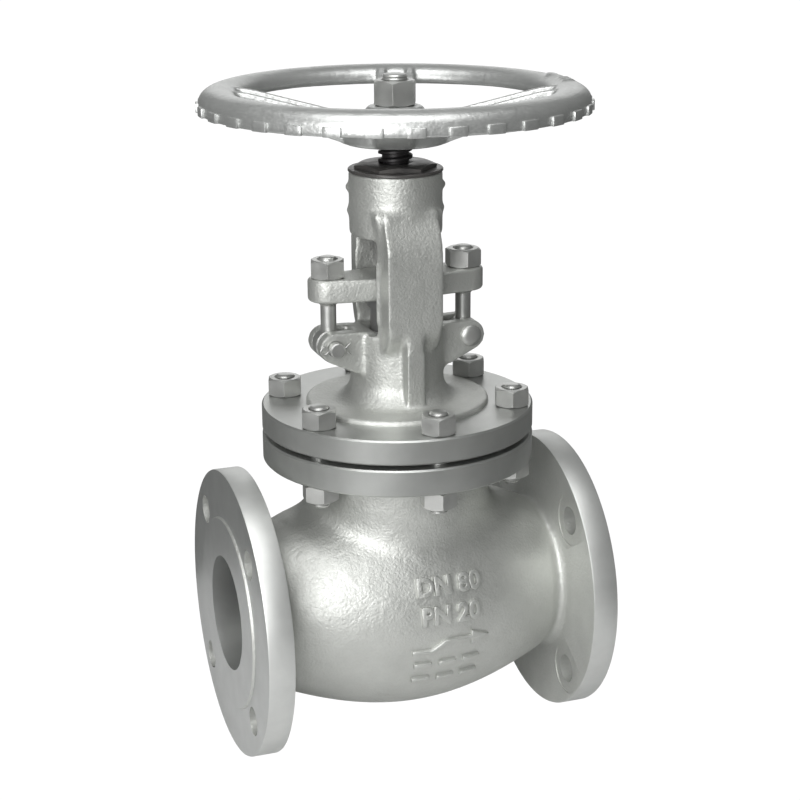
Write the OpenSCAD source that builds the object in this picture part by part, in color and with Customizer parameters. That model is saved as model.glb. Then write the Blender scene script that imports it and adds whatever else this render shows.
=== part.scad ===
// Flanged globe valve, outside screw and yoke, rising stem and handwheel.
// The origin is the centre of the inlet raised face. +X is the flow, +Z runs up the stem.
// The valve is drawn shut, with the disc on its seat.

/* [Pipe ends] */
// Distance between the two raised faces
face_to_face = 241.3; // [225:0.1:300]
// Outside diameter of a pipe flange
flange_od = 190.5; // [175:0.1:240]
// Thickness of a pipe flange with its raised face
flange_t = 19.1; // [16:0.1:26]
// Diameter of the raised face
raised_d = 127; // [95:0.1:130]
// Height of the raised face
raised_h = 1.6; // [1:0.1:3]
// Diameter of the flow bore
bore_d = 76.2; // [60:0.1:80]
// Pitch circle of the pipe bolts
bolt_pcd = 152.4; // [148:0.1:165]
// Diameter of a pipe bolt hole
bolt_hole_d = 19.05; // [12:0.05:21]
// Spot face around a pipe bolt hole
spot_face_d = 34; // [26:0.5:36]
// Depth of a spot face
spot_depth = 0.8; // [0.3:0.1:1.5]
// Straight length of the bore behind each pipe flange
bore_straight = 8; // [6:1:16]

/* [Body casting] */
// Largest outside radius of the bulb
bulb_r = 76.5; // [72:0.1:90]
// Outside radius of the run at a pipe flange
run_end_r = 49; // [46:0.1:56]
// Wall of the bulb
body_wall = 9; // [6:0.1:12]
// Outside radius of the top neck
top_neck_r = 60; // [56:0.1:64]
// Radius of the chamber bored down through the top neck
chamber_r = 48; // [47.5:0.1:50]
// Height of the joint face above the pipe axis
joint_z = 115.2; // [105:0.1:130]
// Thickness of the body's bonnet flange
body_flange_t = 17.5; // [14:0.1:24]
// Outside diameter of both bonnet joint flanges
joint_od = 178.5; // [176:0.1:190]

/* [Seat and disc] */
// Height of the machined top of the seat deck
deck_top = 11; // [6:0.1:14]
// Thickness of the seat deck
deck_t = 13; // [10:0.1:16]
// Outside radius of the seat ring's threaded skirt
seat_skirt_r = 44; // [42:0.1:45]
// Height of the seat ring's lip above the deck
seat_lip_h = 3; // [2:0.1:5]
// Full lift of the disc off its seat
disc_lift = 22.5; // [12:0.5:25]
// Radius of the disc's rim
disc_r = 44; // [43:0.1:45]
// Thickness of the disc's plate
disc_plate_t = 18; // [14:0.5:24]
// Radius of the disc's boss
disc_boss_r = 24; // [22:0.5:28]
// Radius of the thread between the disc and its nut
disc_thread_r = 15.5; // [15:0.1:18]

/* [Stem and handwheel] */
// Diameter of the stem
stem_d = 22; // [20:0.1:24]
// Radius of the stem's head inside the disc
stem_head_r = 14; // [13.5:0.1:14.5]
// Thickness of the stem's head
stem_head_t = 7; // [5:0.5:8]
// Height of the underside of the handwheel hub
hub_z = 302.5; // [300:0.5:320]
// Height of the handwheel hub
hub_h = 25.5; // [20:0.5:30]
// Side of the square that drives the hub
drive_square = 15; // [13:0.1:15.2]
// Diameter of the thread for the wheel nut
wheel_thread_d = 16; // [12:0.5:17]
// Wheel nut, across its flats
wheel_nut_af = 25; // [22:0.5:30]
// Height of the wheel nut
wheel_nut_h = 16; // [10:0.5:18]
// Outside diameter of the handwheel
wheel_od = 250; // [220:1:300]
// Width of the rim's section
rim_w = 25; // [20:0.5:30]
// Height of the rim's crown above its skirt
rim_h = 15; // [12:0.5:20]
// Height of the skirt's lower edge above the hub's underside
rim_lift = 23.5; // [20:0.5:30]
// Wall of the rim
rim_wall = 5; // [4:0.5:6]
// Finger pads around the skirt
pad_count = 32; // [24:1:40]
// Height of a finger pad
pad_h = 6; // [4:0.5:8]
// Width of a spoke
spoke_w = 24; // [18:0.5:28]
// Radius of the web between hub and spokes
web_r = 34; // [30:0.5:40]
// Turn of the first spoke about the stem
spoke_turn = -20; // [-45:1:45]
// Turn of the finger pads about the stem
pad_turn = -109.7; // [-180:0.1:180]

/* [Bonnet joint] */
// Thickness of the gasket between body and bonnet
gasket_t = 3.2; // [1.5:0.1:4.5]
// Outside radius of the gasket
gasket_r = 66; // [62:0.1:67]
// Thickness of the bonnet flange
bonnet_flange_t = 16.2; // [14:0.1:22]
// Pitch circle of the bonnet studs
stud_pcd = 152; // [150:0.1:154]
// Bonnet studs
stud_count = 6; // [4:1:8]
// Diameter of a bonnet stud
stud_d = 12; // [10:0.5:14]
// Bonnet and gland nuts, across their flats
nut_af = 21; // [19:0.5:22]
// Height of a bonnet or gland nut
nut_h = 12; // [8:0.5:13]
// Thread that stands out of a bonnet nut
stud_stand_out = 2; // [1:0.5:4]

/* [Bonnet and yoke] */
// Radius of the raised step on the bonnet flange
step_r = 60; // [55:0.5:62]
// Height of that step
step_h = 3.2; // [2:0.1:4]
// Outside radius of the stuffing box neck
neck_r = 30.6; // [29:0.1:32]
// Height of the top of the stuffing box
box_top = 184; // [182:0.5:190]
// Outside radius of the yoke tube
yoke_r = 30; // [28:0.1:32]
// Height of the top of the yoke
yoke_top = 286.7; // [284:0.1:292]
// Half width of the windows through the yoke
window_half = 20; // [19.5:0.1:21]
// Height of the top of the windows
window_top = 246; // [240:0.5:250]
// Distance from the stem axis to the outer face of a yoke arm
arm_face = 37; // [35:0.1:40]
// Width of a yoke arm's face
arm_w = 37; // [32:0.5:38]
// Width of the rib under a yoke arm
rib_w = 12; // [8:0.5:16]

/* [Stuffing box and gland] */
// Height of the floor of the stuffing box
box_floor = 142; // [140:0.5:144]
// Thickness of the packing washer
washer_t = 3; // [2:0.5:4]
// Side of one packing ring's square section
packing_side = 6.4; // [5.8:0.1:6.8]
// Packing rings
packing_count = 5; // [4:1:5]
// Height of the underside of the gland flange
gland_flange_z = 206; // [204:0.5:208]
// Thickness of the gland flange
gland_flange_t = 15; // [12:0.5:16]
// End radius of the gland flange
gland_end_r = 13; // [11:0.5:14]
// Distance from the stem axis to an eyebolt
eyebolt_x = 46.5; // [45:0.5:50]
// Diameter of an eyebolt's shank
eyebolt_d = 10.2; // [9:0.1:11]
// Height of the eyebolt pins
pin_z = 177; // [175:0.5:179]
// Diameter of an eyebolt pin
pin_d = 10; // [8:0.1:10.5]
// Outside radius of an eyebolt's eye and of a lug's nose
eye_r = 10; // [9.5:0.1:11]
// Distance from the pipe-stem plane to the outer face of a lug
lug_face = 14; // [12:0.5:16]
// Thickness of an eyebolt's eye
eye_t = 10.4; // [9:0.1:11]
// Diameter of a split pin
split_d = 2.4; // [1.6:0.1:3]

/* [Stem nut] */
// Radius of the stem nut's collar
collar_r = 30.5; // [29:0.1:32]
// Height of the stem nut's collar
collar_h = 2; // [1:0.1:3]
// Stem nut, across its flats
stem_nut_af = 46; // [40:0.5:50]
// Height of the stem nut's hexagon
stem_nut_hex_h = 3.4; // [2:0.1:5]
// Radius of the stem nut's body inside the yoke
stem_nut_r = 19.5; // [17:0.1:20]
// Length of the stem nut's body inside the yoke
stem_nut_l = 36; // [25:0.5:38]

/* [Fits] */
// Gap around the stem where it turns
stem_clear = 0.08; // [0.05:0.01:0.1]
// Gap around parts screwed or laid into a bore
part_clear = 0.05; // [0.02:0.01:0.1]
// Gap around studs and eyebolts
bolt_clear = 0.9; // [0.3:0.1:1]
// Gap around the gland, the eyebolt pins and the disc nut's stem hole
loose_clear = 0.3; // [0.2:0.05:0.5]
// Gap between the gland and the sides of the yoke's windows
window_clear = 0.8; // [0.5:0.1:1.5]
// Gap between seat and disc, and above and below the stem head
seat_clear = 0.05; // [0.03:0.01:0.1]

/* [Hidden] */
$fn = 96;
e = 1;
steel = [0.68, 0.69, 0.67];
machined = [0.76, 0.77, 0.76];
fastener = [0.72, 0.73, 0.72];
black = [0.10, 0.10, 0.11];
graphite = [0.22, 0.22, 0.23];
mid_x = face_to_face / 2;
bore_r = bore_d / 2;
stem_r = stem_d / 2;
run_half = mid_x - flange_t;
cavity_half = run_half - bore_straight;
body_flange_z = joint_z - body_flange_t;
bonnet_z = joint_z + gasket_t;
bonnet_top = bonnet_z + bonnet_flange_t;
step_top = bonnet_top + step_h;
spigot_r = chamber_r - 2 * loose_clear;
spigot_h = 8;
bush_z = bonnet_z - spigot_h - 2;
bush_r = stem_r + 7;
bush_top = bonnet_z + 6;
bush_seat_r = stem_r + 3.5;
seat_top = deck_top + seat_lip_h;
seat_cone_h = 4;
disc_nose_z = deck_top - 3;
disc_plate_top = disc_nose_z + disc_plate_t;
disc_boss_top = disc_plate_top + 18;
head_z = disc_plate_top - 2;
head_top = head_z + stem_head_t;
disc_nut_z = head_top + 0.2;
disc_nut_hex_h = 7;
disc_nut_af = 36;
packing_z = box_floor + washer_t;
packing_top = packing_z + packing_count * packing_side;
box_r = stem_r + packing_side + 2 * part_clear;
gland_r = box_r - loose_clear;
gland_collar_r = window_half - window_clear;
gland_collar_h = 7;
gland_nut_z = gland_flange_z + gland_flange_t;
eyebolt_top = gland_nut_z + nut_h + stud_stand_out;
slot_half = eye_t / 2 + loose_clear;
lug_foot_x = 25;
lug_foot_z = pin_z - 21.5;
hub_top = hub_z + hub_h;
rim_z = hub_z + rim_lift;
rim_top = rim_z + rim_h;
wheel_r = wheel_od / 2;
skirt_r = wheel_r - 1.6;
stem_top = hub_top + wheel_nut_h + 4;
cross_y = lug_face + 3;
backseat_gap = 0.3;
// How far round each nut stopped when it was tightened.
upper_nut_turn = 11;
lower_nut_turn = 23;
gland_left_turn = 12;
gland_right_turn = 24;
stem_nut_turn = -12.6;
wheel_nut_turn = 5;

// Points on an arc from angle a to angle b, in n steps.
function arc(cx, cy, r, a, b, n) =
  [for (i = [0:n]) let (t = a + (b - a) * i / n) [cx + r * cos(t), cy + r * sin(t)]];

// Radius of a barrel of half length l, ends r0 and middle r1, at distance x from its middle.
function barrel(x, l, r0, r1) = r0 + (r1 - r0) * pow(max(0, cos(90 * x / l)), 0.9);

// Outline of a barrel, from -l to l, as [radius, distance] pairs.
function barrel_line(l, r0, r1, n) =
  [for (i = [-n:n]) let (x = l * i / n) [barrel(abs(x), l, r0, r1), x]];

// Puts its children on the stem axis.
module on_stem() { translate([mid_x, 0, 0]) children(); }

// Turns a shape drawn up +Z so that it runs along +X, centred on the stem axis.
module along_run() { on_stem() rotate([0, 90, 0]) children(); }

// Sweeps an outline drawn in X and Z over a width w along Y, centred.
module slab(w) { rotate([90, 0, 0]) linear_extrude(w, center = true) children(); }

// A tube of outer radius ro and inner radius ri, from z0 to z1.
module tube(ro, ri, z0, z1) {
  difference() {
    translate([0, 0, z0]) cylinder(r = ro, h = z1 - z0);
    translate([0, 0, z0 - e]) cylinder(r = ri, h = z1 - z0 + 2 * e);
  }
}

// A hexagon nut standing on z0, across flats af, with a bore.
module hex_nut(af, h, z0, bore_radius, turn = 0) {
  difference() {
    translate([0, 0, z0]) rotate([0, 0, turn]) cylinder(d = af / cos(30), h = h, $fn = 6);
    translate([0, 0, z0 - e]) cylinder(r = bore_radius, h = h + 2 * e);
  }
}

// Repeats its children at every bonnet stud.
module at_studs() {
  on_stem() for (i = [0:stud_count - 1])
    rotate([0, 0, 30 + i * 360 / stud_count]) translate([stud_pcd / 2, 0, 0]) children();
}

// Repeats its children at the pipe bolts, which straddle the centre lines.
module at_pipe_bolts() {
  for (a = [45:90:315]) rotate([0, 0, a]) translate([bolt_pcd / 2, 0, 0]) children();
}

// One pipe flange with its raised face, bore, bolt holes and spot faces; its back is at z = 0.
module pipe_flange() {
  plate_t = flange_t - raised_h;
  difference() {
    union() {
      cylinder(d = flange_od, h = plate_t);
      cylinder(d = raised_d, h = flange_t);
    }
    translate([0, 0, -e]) cylinder(d = bore_d, h = flange_t + 2 * e);
    at_pipe_bolts() translate([0, 0, -e]) cylinder(d = bolt_hole_d, h = flange_t + 2 * e);
    at_pipe_bolts() translate([0, 0, -e]) cylinder(d = spot_face_d, h = spot_depth + e);
  }
}

// The band of metal that carries the seat: down from the inlet side's roof, across as the
// deck, and down to the outlet side's floor.
module seat_web() {
  deck_low = deck_top - deck_t;
  knee = seat_skirt_r + 6;
  far = run_half;
  slab(2 * bulb_r) polygon([[-far, deck_top + far - knee], [-knee, deck_top], [knee, deck_top],
    [far, deck_top - far + knee], [far, deck_low - far + knee], [knee - 3, deck_low],
    [-knee - 3, deck_low], [-far, deck_low + far - knee]]);
}

// The two chambers of the casting, less the web between them.
module chambers() {
  difference() {
    rotate([0, 90, 0]) rotate_extrude()
      polygon(concat([[0, -cavity_half]],
        barrel_line(cavity_half, bore_r, bulb_r - body_wall, 10), [[0, cavity_half]]));
    seat_web();
  }
}

// The casting between its two pipe flanges, which meet it face to face.
module body() {
  color(steel) difference() {
    union() {
      along_run() rotate_extrude()
        polygon(concat([[0, -run_half]], barrel_line(run_half, run_end_r, bulb_r, 12),
          [[0, run_half]]));
      on_stem() cylinder(r = top_neck_r, h = joint_z - e);
      on_stem() translate([0, 0, body_flange_z]) cylinder(d = joint_od, h = body_flange_t);
    }
    for (turn = [0, 180]) along_run() rotate([turn, 0, 0]) translate([0, 0, cavity_half - e])
      cylinder(r = bore_r, h = bore_straight + 2 * e);
    on_stem() chambers();
    on_stem() translate([0, 0, deck_top]) cylinder(r = chamber_r, h = joint_z);
    on_stem() translate([0, 0, deck_top - deck_t - e]) cylinder(r = seat_skirt_r, h = deck_t + 2 * e);
    at_studs() translate([0, 0, body_flange_z - e])
      cylinder(d = stud_d + 2 * bolt_clear, h = body_flange_t + 2 * e);
  }
}

module inlet_flange() {
  color(steel) along_run() mirror([0, 0, 1]) translate([0, 0, run_half]) pipe_flange();
}

module outlet_flange() {
  color(steel) along_run() translate([0, 0, run_half]) pipe_flange();
}

module seat_ring() {
  low = deck_top - deck_t;
  cone_z = seat_top - seat_cone_h;
  color(machined) on_stem() rotate_extrude()
    polygon([[bore_r, low], [seat_skirt_r - part_clear, low], [seat_skirt_r - part_clear, deck_top],
      [chamber_r - 1, deck_top], [chamber_r - 1, seat_top], [bore_r + seat_cone_h, seat_top],
      [bore_r, cone_z]]);
}

module bonnet_gasket() {
  color(graphite) on_stem() tube(gasket_r, chamber_r + 1, joint_z, bonnet_z);
}

// Flange, step, fillet and stuffing box neck, turned about the stem axis.
module bonnet_turning() {
  fillet = 14;
  rotate_extrude() polygon(concat(
    [[0, bonnet_z - spigot_h], [spigot_r, bonnet_z - spigot_h], [spigot_r, bonnet_z],
     [joint_od / 2, bonnet_z], [joint_od / 2, bonnet_top], [step_r, bonnet_top],
     [step_r, step_top]],
    arc(neck_r + fillet, step_top + fillet, fillet, 270, 180, 6),
    [[neck_r, box_top], [0, box_top]]));
}

// One yoke arm beyond the window, with its outward swell, seen from the side.
module arm() {
  swell = arm_face - yoke_r;
  slab_top = window_top + 20;
  rotate([0, 0, 90]) slab(arm_w) polygon([[window_half, box_top - 10], [neck_r - 2, box_top - 10],
    [arm_face, box_top + 6], [arm_face, window_top - 4], [arm_face - 0.25 * swell, window_top + 6],
    [yoke_r - 0.3, slab_top], [window_half, slab_top]]);
  rotate([0, 0, 90]) slab(rib_w) polygon([[neck_r - 4, step_top - 1], [arm_face, step_top - 1],
    [arm_face, box_top + 6], [neck_r - 4, box_top - 4]]);
}

// The pair of ears that holds an eyebolt, on the +X side.
module lug() {
  difference() {
    slab(2 * lug_face) polygon(concat([[neck_r - 12, lug_foot_z], [lug_foot_x, lug_foot_z]],
      arc(eyebolt_x, pin_z, eye_r, -65, 90, 10), [[neck_r - 12, pin_z + eye_r - 1]]));
    translate([neck_r + 1.5, -slot_half, lug_foot_z - e])
      cube([eyebolt_x, 2 * slot_half, eye_r * 4]);
    translate([eyebolt_x, 0, pin_z]) rotate([90, 0, 0])
      cylinder(d = pin_d + 2 * loose_clear, h = 4 * lug_face, center = true);
  }
}

module bonnet() {
  window_h = window_top - box_top;
  color(steel) difference() {
    union() {
      on_stem() bonnet_turning();
      on_stem() translate([0, 0, box_top - e]) difference() {
        cylinder(r = yoke_r, h = yoke_top - box_top + e);
        translate([-2 * yoke_r, -window_half, e]) cube([4 * yoke_r, 2 * window_half, window_h]);
      }
      for (turn = [0, 180]) on_stem() rotate([0, 0, turn]) arm();
      for (turn = [0, 180]) on_stem() rotate([0, 0, turn]) lug();
    }
    on_stem() translate([0, 0, bush_z]) cylinder(r = bush_r, h = bush_top - bush_z);
    on_stem() translate([0, 0, bush_z])
      cylinder(r = stem_r + 2 * loose_clear, h = box_top - bush_z);
    on_stem() translate([0, 0, box_floor]) cylinder(r = box_r, h = box_top - box_floor + e);
    on_stem() translate([0, 0, window_top - e])
      cylinder(r = stem_nut_r + part_clear, h = yoke_top - window_top + 2 * e);
    at_studs() translate([0, 0, bonnet_z - e])
      cylinder(d = stud_d + 2 * bolt_clear, h = bonnet_flange_t + 2 * e);
  }
}

module bonnet_studs() {
  reach = nut_h + stud_stand_out;
  color(fastener) at_studs() translate([0, 0, body_flange_z - reach])
    cylinder(d = stud_d, h = bonnet_top - body_flange_z + 2 * reach);
}

module bonnet_nuts_upper() {
  color(fastener) at_studs() hex_nut(nut_af, nut_h, bonnet_top, stud_d / 2 + part_clear,
    upper_nut_turn);
}

module bonnet_nuts_lower() {
  color(fastener) at_studs()
    hex_nut(nut_af, nut_h, body_flange_z - nut_h, stud_d / 2 + part_clear, lower_nut_turn);
}

module backseat_bush() {
  color(machined) on_stem() rotate_extrude()
    polygon([[bush_seat_r, bush_z], [bush_r - part_clear, bush_z], [bush_r - part_clear, bush_top],
      [stem_r + stem_clear, bush_top], [stem_r + stem_clear, bush_z + bush_seat_r - stem_r]]);
}

module packing_washer() {
  color(machined) on_stem()
    tube(box_r - 2 * part_clear, stem_r + 2 * stem_clear, box_floor, packing_z);
}

module packing_rings() {
  color(graphite) on_stem() for (i = [0:packing_count - 1])
    tube(box_r - part_clear, stem_r + part_clear, packing_z + i * packing_side,
      packing_z + (i + 1) * packing_side - 0.1);
}

module gland_follower() {
  collar_z = gland_flange_z - gland_collar_h;
  color(machined) on_stem() difference() {
    union() {
      translate([0, 0, packing_top]) cylinder(r = gland_r, h = gland_flange_z - packing_top);
      translate([0, 0, collar_z]) cylinder(r = gland_collar_r, h = gland_collar_h);
    }
    translate([0, 0, packing_top - e]) cylinder(r = stem_r + loose_clear, h = gland_flange_z);
  }
}

// Plan of the gland flange: arcs round its ends and its middle, joined by their tangents.
module gland_plan() {
  tilt = acos((gland_collar_r - gland_end_r) / eyebolt_x);
  polygon(concat(arc(eyebolt_x, 0, gland_end_r, -tilt, tilt, 16),
    arc(0, 0, gland_collar_r, tilt, 180 - tilt, 4),
    arc(-eyebolt_x, 0, gland_end_r, 180 - tilt, 180 + tilt, 16),
    arc(0, 0, gland_collar_r, 180 + tilt, 360 - tilt, 4)));
}

module gland_flange() {
  color(steel) on_stem() difference() {
    translate([0, 0, gland_flange_z]) linear_extrude(gland_flange_t) gland_plan();
    translate([0, 0, gland_flange_z - e])
      cylinder(r = stem_r + 5 * loose_clear, h = gland_flange_t + 2 * e);
    for (s = [-1, 1]) translate([s * eyebolt_x, 0, gland_flange_z - e])
      cylinder(d = stud_d + 2 * bolt_clear, h = gland_flange_t + 2 * e);
  }
}

// An eyebolt: an eye across the pin, a plain shank and a thread for the gland nut.
module eyebolt() {
  thread_z = gland_flange_z - 2;
  difference() {
    union() {
      translate([0, 0, pin_z]) rotate([90, 0, 0]) cylinder(r = eye_r, h = eye_t, center = true);
      translate([0, 0, pin_z]) cylinder(d = eyebolt_d, h = thread_z - pin_z);
      translate([0, 0, thread_z]) cylinder(d = stud_d, h = eyebolt_top - thread_z);
    }
    translate([0, 0, pin_z]) rotate([90, 0, 0])
      cylinder(d = pin_d + 2 * loose_clear, h = 2 * eye_t, center = true);
  }
}

module eyebolt_left() {
  color(fastener) on_stem() translate([-eyebolt_x, 0, 0]) eyebolt();
}

module eyebolt_right() {
  color(fastener) on_stem() translate([eyebolt_x, 0, 0]) eyebolt();
}

// A clevis pin along Y: round head against one ear, cross hole past the other.
module clevis_pin() {
  reach = lug_face + 6;
  translate([0, 0, pin_z]) rotate([90, 0, 0]) difference() {
    union() {
      translate([0, 0, -reach]) cylinder(d = pin_d, h = reach + lug_face + e);
      translate([0, 0, lug_face]) cylinder(r = eye_r - 3, h = 3);
    }
    translate([0, 0, -cross_y]) rotate([0, 90, 0])
      cylinder(d = split_d + 0.2, h = 2 * pin_d, center = true, $fn = 24);
  }
}

// A split pin through a clevis pin's cross hole, with its looped eye.
module split_pin() {
  translate([0, cross_y, pin_z]) rotate([0, 90, 0]) {
    cylinder(d = split_d, h = pin_d + 6, center = true, $fn = 24);
    translate([0, 0, -pin_d / 2 - 4]) rotate([90, 0, 0])
      rotate_extrude($fn = 24) translate([2.2, 0]) circle(d = 1.6, $fn = 16);
  }
}

module eyebolt_pin_left() {
  color(fastener) on_stem() translate([-eyebolt_x, 0, 0]) mirror([0, 1, 0]) clevis_pin();
}

module eyebolt_pin_right() {
  color(fastener) on_stem() translate([eyebolt_x, 0, 0]) clevis_pin();
}

module split_pins() {
  color(machined) on_stem() translate([-eyebolt_x, 0, 0]) mirror([0, 1, 0]) split_pin();
  color(machined) on_stem() translate([eyebolt_x, 0, 0]) split_pin();
}

module gland_nut_left() {
  color(fastener) on_stem() translate([-eyebolt_x, 0, 0])
    hex_nut(nut_af, nut_h, gland_nut_z, stud_d / 2 + part_clear, gland_left_turn);
}

module gland_nut_right() {
  color(fastener) on_stem() translate([eyebolt_x, 0, 0])
    hex_nut(nut_af, nut_h, gland_nut_z, stud_d / 2 + part_clear, gland_right_turn);
}

module stem_nut() {
  hex_z = yoke_top + collar_h;
  color(black) on_stem() difference() {
    union() {
      translate([0, 0, yoke_top - stem_nut_l]) cylinder(r = stem_nut_r, h = stem_nut_l + e);
      translate([0, 0, yoke_top]) cylinder(r = collar_r, h = collar_h);
      translate([0, 0, hex_z]) rotate([0, 0, stem_nut_turn])
        cylinder(d = stem_nut_af / cos(30), h = stem_nut_hex_h, $fn = 6);
    }
    translate([0, 0, yoke_top - stem_nut_l - e])
      cylinder(r = stem_r + stem_clear, h = stem_nut_l + 20);
  }
}

// The disc: a coned plate that seats, and a boss that takes the stem's head and the disc nut.
module disc() {
  cone_r = bore_r + disc_nose_z - (seat_top - seat_cone_h) - 1.5 * seat_clear;
  rim_rise = disc_r - cone_r;
  color(machined) on_stem() difference() {
    rotate_extrude() polygon([[0, disc_nose_z], [cone_r, disc_nose_z],
      [disc_r, disc_nose_z + rim_rise], [disc_r, disc_plate_top - 2], [disc_r - 4, disc_plate_top],
      [disc_boss_r, disc_plate_top + 3], [disc_boss_r, disc_boss_top], [0, disc_boss_top]]);
    translate([0, 0, head_z - seat_clear]) cylinder(r = disc_thread_r, h = disc_boss_top);
  }
}

module disc_nut() {
  color(machined) on_stem() difference() {
    union() {
      translate([0, 0, disc_nut_z])
        cylinder(r = disc_thread_r - part_clear, h = disc_boss_top - disc_nut_z + e);
      translate([0, 0, disc_boss_top]) cylinder(d = disc_nut_af / cos(30), h = disc_nut_hex_h, $fn = 6);
    }
    translate([0, 0, disc_nut_z - e]) cylinder(r = stem_r + loose_clear, h = disc_boss_top);
  }
}

// The stem: swivel head, backseat shoulder, threaded shank, drive square and nut thread.
module stem() {
  shoulder_top = bush_z - disc_lift - backseat_gap + bush_seat_r - stem_r;
  shoulder_r = bush_seat_r;
  nut_r = wheel_thread_d / 2;
  color(black) on_stem() union() {
    rotate_extrude() polygon([[0, head_z], [stem_head_r, head_z], [stem_head_r, head_top],
      [stem_r, head_top], [stem_r, shoulder_top - 10 - (shoulder_r - stem_r)],
      [shoulder_r, shoulder_top - 10], [shoulder_r, shoulder_top - (shoulder_r - stem_r)],
      [stem_r, shoulder_top], [stem_r, hub_z], [0, hub_z]]);
    translate([-drive_square / 2, -drive_square / 2, hub_z - e])
      cube([drive_square, drive_square, hub_h + e - 1]);
    rotate_extrude() polygon([[0, hub_top - 3], [nut_r * 0.88, hub_top - 3],
      [nut_r * 0.88, hub_top], [nut_r, hub_top], [nut_r, stem_top - 2], [nut_r - 2, stem_top],
      [0, stem_top]]);
  }
}

// Section of the hollow rim: crown, outer skirt and short inner lip.
module rim_section() {
  mid = skirt_r - rim_w / 2;
  half = rim_w / 2;
  skirt = 6;
  crown = rim_h - skirt;
  outer = [for (i = [0:10]) [mid + half * cos(18 * i), rim_z + skirt + crown * sin(18 * i)]];
  inner = [for (i = [10:-1:0])
    [mid + (half - rim_wall) * cos(18 * i), rim_z + skirt + (crown - rim_wall) * sin(18 * i)]];
  polygon(concat([[skirt_r, rim_z]], outer, [[mid - half, rim_z + 3]],
    [[mid - half + rim_wall, rim_z + 3]], inner, [[skirt_r - rim_wall, rim_z]]));
}

// A dished spoke from the hub's web up to the rim, with a channel along its top.
module spoke() {
  start = 20;
  stop = skirt_r - rim_w + 3;
  difference() {
    slab(spoke_w) polygon([[start, hub_z + 3], [web_r - 2, hub_z + 3], [stop, rim_z + 5],
      [stop, rim_z + rim_h - 2], [stop - 12, rim_z + rim_h - 3], [web_r, hub_top - 5],
      [start, hub_top - 4]]);
    slab(spoke_w - 10) polygon([[38, hub_top - 8], [stop - 12, rim_z + rim_h - 7],
      [stop - 14, rim_z + rim_h + 5], [38, hub_top + 5]]);
  }
}

module handwheel() {
  hub_r = 13;
  pad_arc = 360 / pad_count * 0.46;
  color(steel) on_stem() difference() {
    union() {
      rotate_extrude() rim_section();
      for (i = [0:pad_count - 1]) rotate([0, 0, pad_turn + (i + 0.5) * 360 / pad_count - pad_arc / 2])
        rotate_extrude(angle = pad_arc) translate([skirt_r - 2, rim_z])
          square([wheel_r - skirt_r + 2, pad_h]);
      for (i = [0:3]) rotate([0, 0, spoke_turn + 90 * i]) spoke();
      rotate_extrude() polygon([[0, hub_z], [hub_r, hub_z], [web_r, hub_z + 2.5],
        [web_r, hub_z + 12], [hub_r + 6, hub_top - 3], [hub_r + 4, hub_top], [0, hub_top]]);
    }
    translate([-drive_square / 2 - part_clear, -drive_square / 2 - part_clear, hub_z - e])
      cube([drive_square + 2 * part_clear, drive_square + 2 * part_clear, hub_h + 2 * e]);
  }
}

module wheel_nut() {
  color(fastener) on_stem()
    hex_nut(wheel_nut_af, wheel_nut_h, hub_top, wheel_thread_d / 2 + part_clear,
      wheel_nut_turn);
}

body();
inlet_flange();
outlet_flange();
seat_ring();
bonnet_gasket();
bonnet();
bonnet_studs();
bonnet_nuts_upper();
bonnet_nuts_lower();
backseat_bush();
packing_washer();
packing_rings();
gland_follower();
gland_flange();
eyebolt_left();
eyebolt_right();
eyebolt_pin_left();
eyebolt_pin_right();
split_pins();
gland_nut_left();
gland_nut_right();
stem_nut();
disc();
disc_nut();
stem();
handwheel();
wheel_nut();
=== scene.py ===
import math

import bmesh
import bpy
from mathutils import Matrix, Vector


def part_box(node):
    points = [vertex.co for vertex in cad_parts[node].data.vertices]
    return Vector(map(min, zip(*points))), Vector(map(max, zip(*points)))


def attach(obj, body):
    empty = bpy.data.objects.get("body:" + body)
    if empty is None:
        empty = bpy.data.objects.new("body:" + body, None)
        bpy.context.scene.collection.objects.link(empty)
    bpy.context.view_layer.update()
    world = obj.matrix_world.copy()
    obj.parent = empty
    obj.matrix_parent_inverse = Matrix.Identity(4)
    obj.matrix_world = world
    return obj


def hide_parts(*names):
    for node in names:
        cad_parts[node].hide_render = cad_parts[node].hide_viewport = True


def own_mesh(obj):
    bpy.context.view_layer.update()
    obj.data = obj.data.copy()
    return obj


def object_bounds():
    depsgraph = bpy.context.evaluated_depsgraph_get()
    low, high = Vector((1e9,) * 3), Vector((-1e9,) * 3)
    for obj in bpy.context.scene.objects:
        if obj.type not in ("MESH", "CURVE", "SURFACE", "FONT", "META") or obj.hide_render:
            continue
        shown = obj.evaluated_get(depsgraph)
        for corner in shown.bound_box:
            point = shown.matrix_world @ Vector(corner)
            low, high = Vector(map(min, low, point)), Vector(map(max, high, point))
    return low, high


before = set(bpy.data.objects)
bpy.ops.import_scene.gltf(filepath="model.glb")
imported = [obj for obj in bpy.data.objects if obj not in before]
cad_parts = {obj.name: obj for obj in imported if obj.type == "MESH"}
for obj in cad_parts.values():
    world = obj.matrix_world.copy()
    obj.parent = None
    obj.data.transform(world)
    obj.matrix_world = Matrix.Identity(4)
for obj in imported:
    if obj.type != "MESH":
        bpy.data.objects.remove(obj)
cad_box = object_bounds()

# ---------------------------------------------------------------------------
# The camera stands on the inlet side, a little above the bonnet, and looks at
# the middle of the valve. The stem axis is the line that every height is read on.
# ---------------------------------------------------------------------------
mm = 0.001
stem_low, stem_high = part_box("stem")
axis_x = (stem_low.x + stem_high.x) / 2

camera_azimuth = math.radians(-19.79)
camera_elevation = math.radians(17.197)
camera_roll = math.radians(-0.383)
camera_distance = 1.1957
camera_target = Vector((axis_x + 0.0018, -0.0006, 0.1337))

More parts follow.
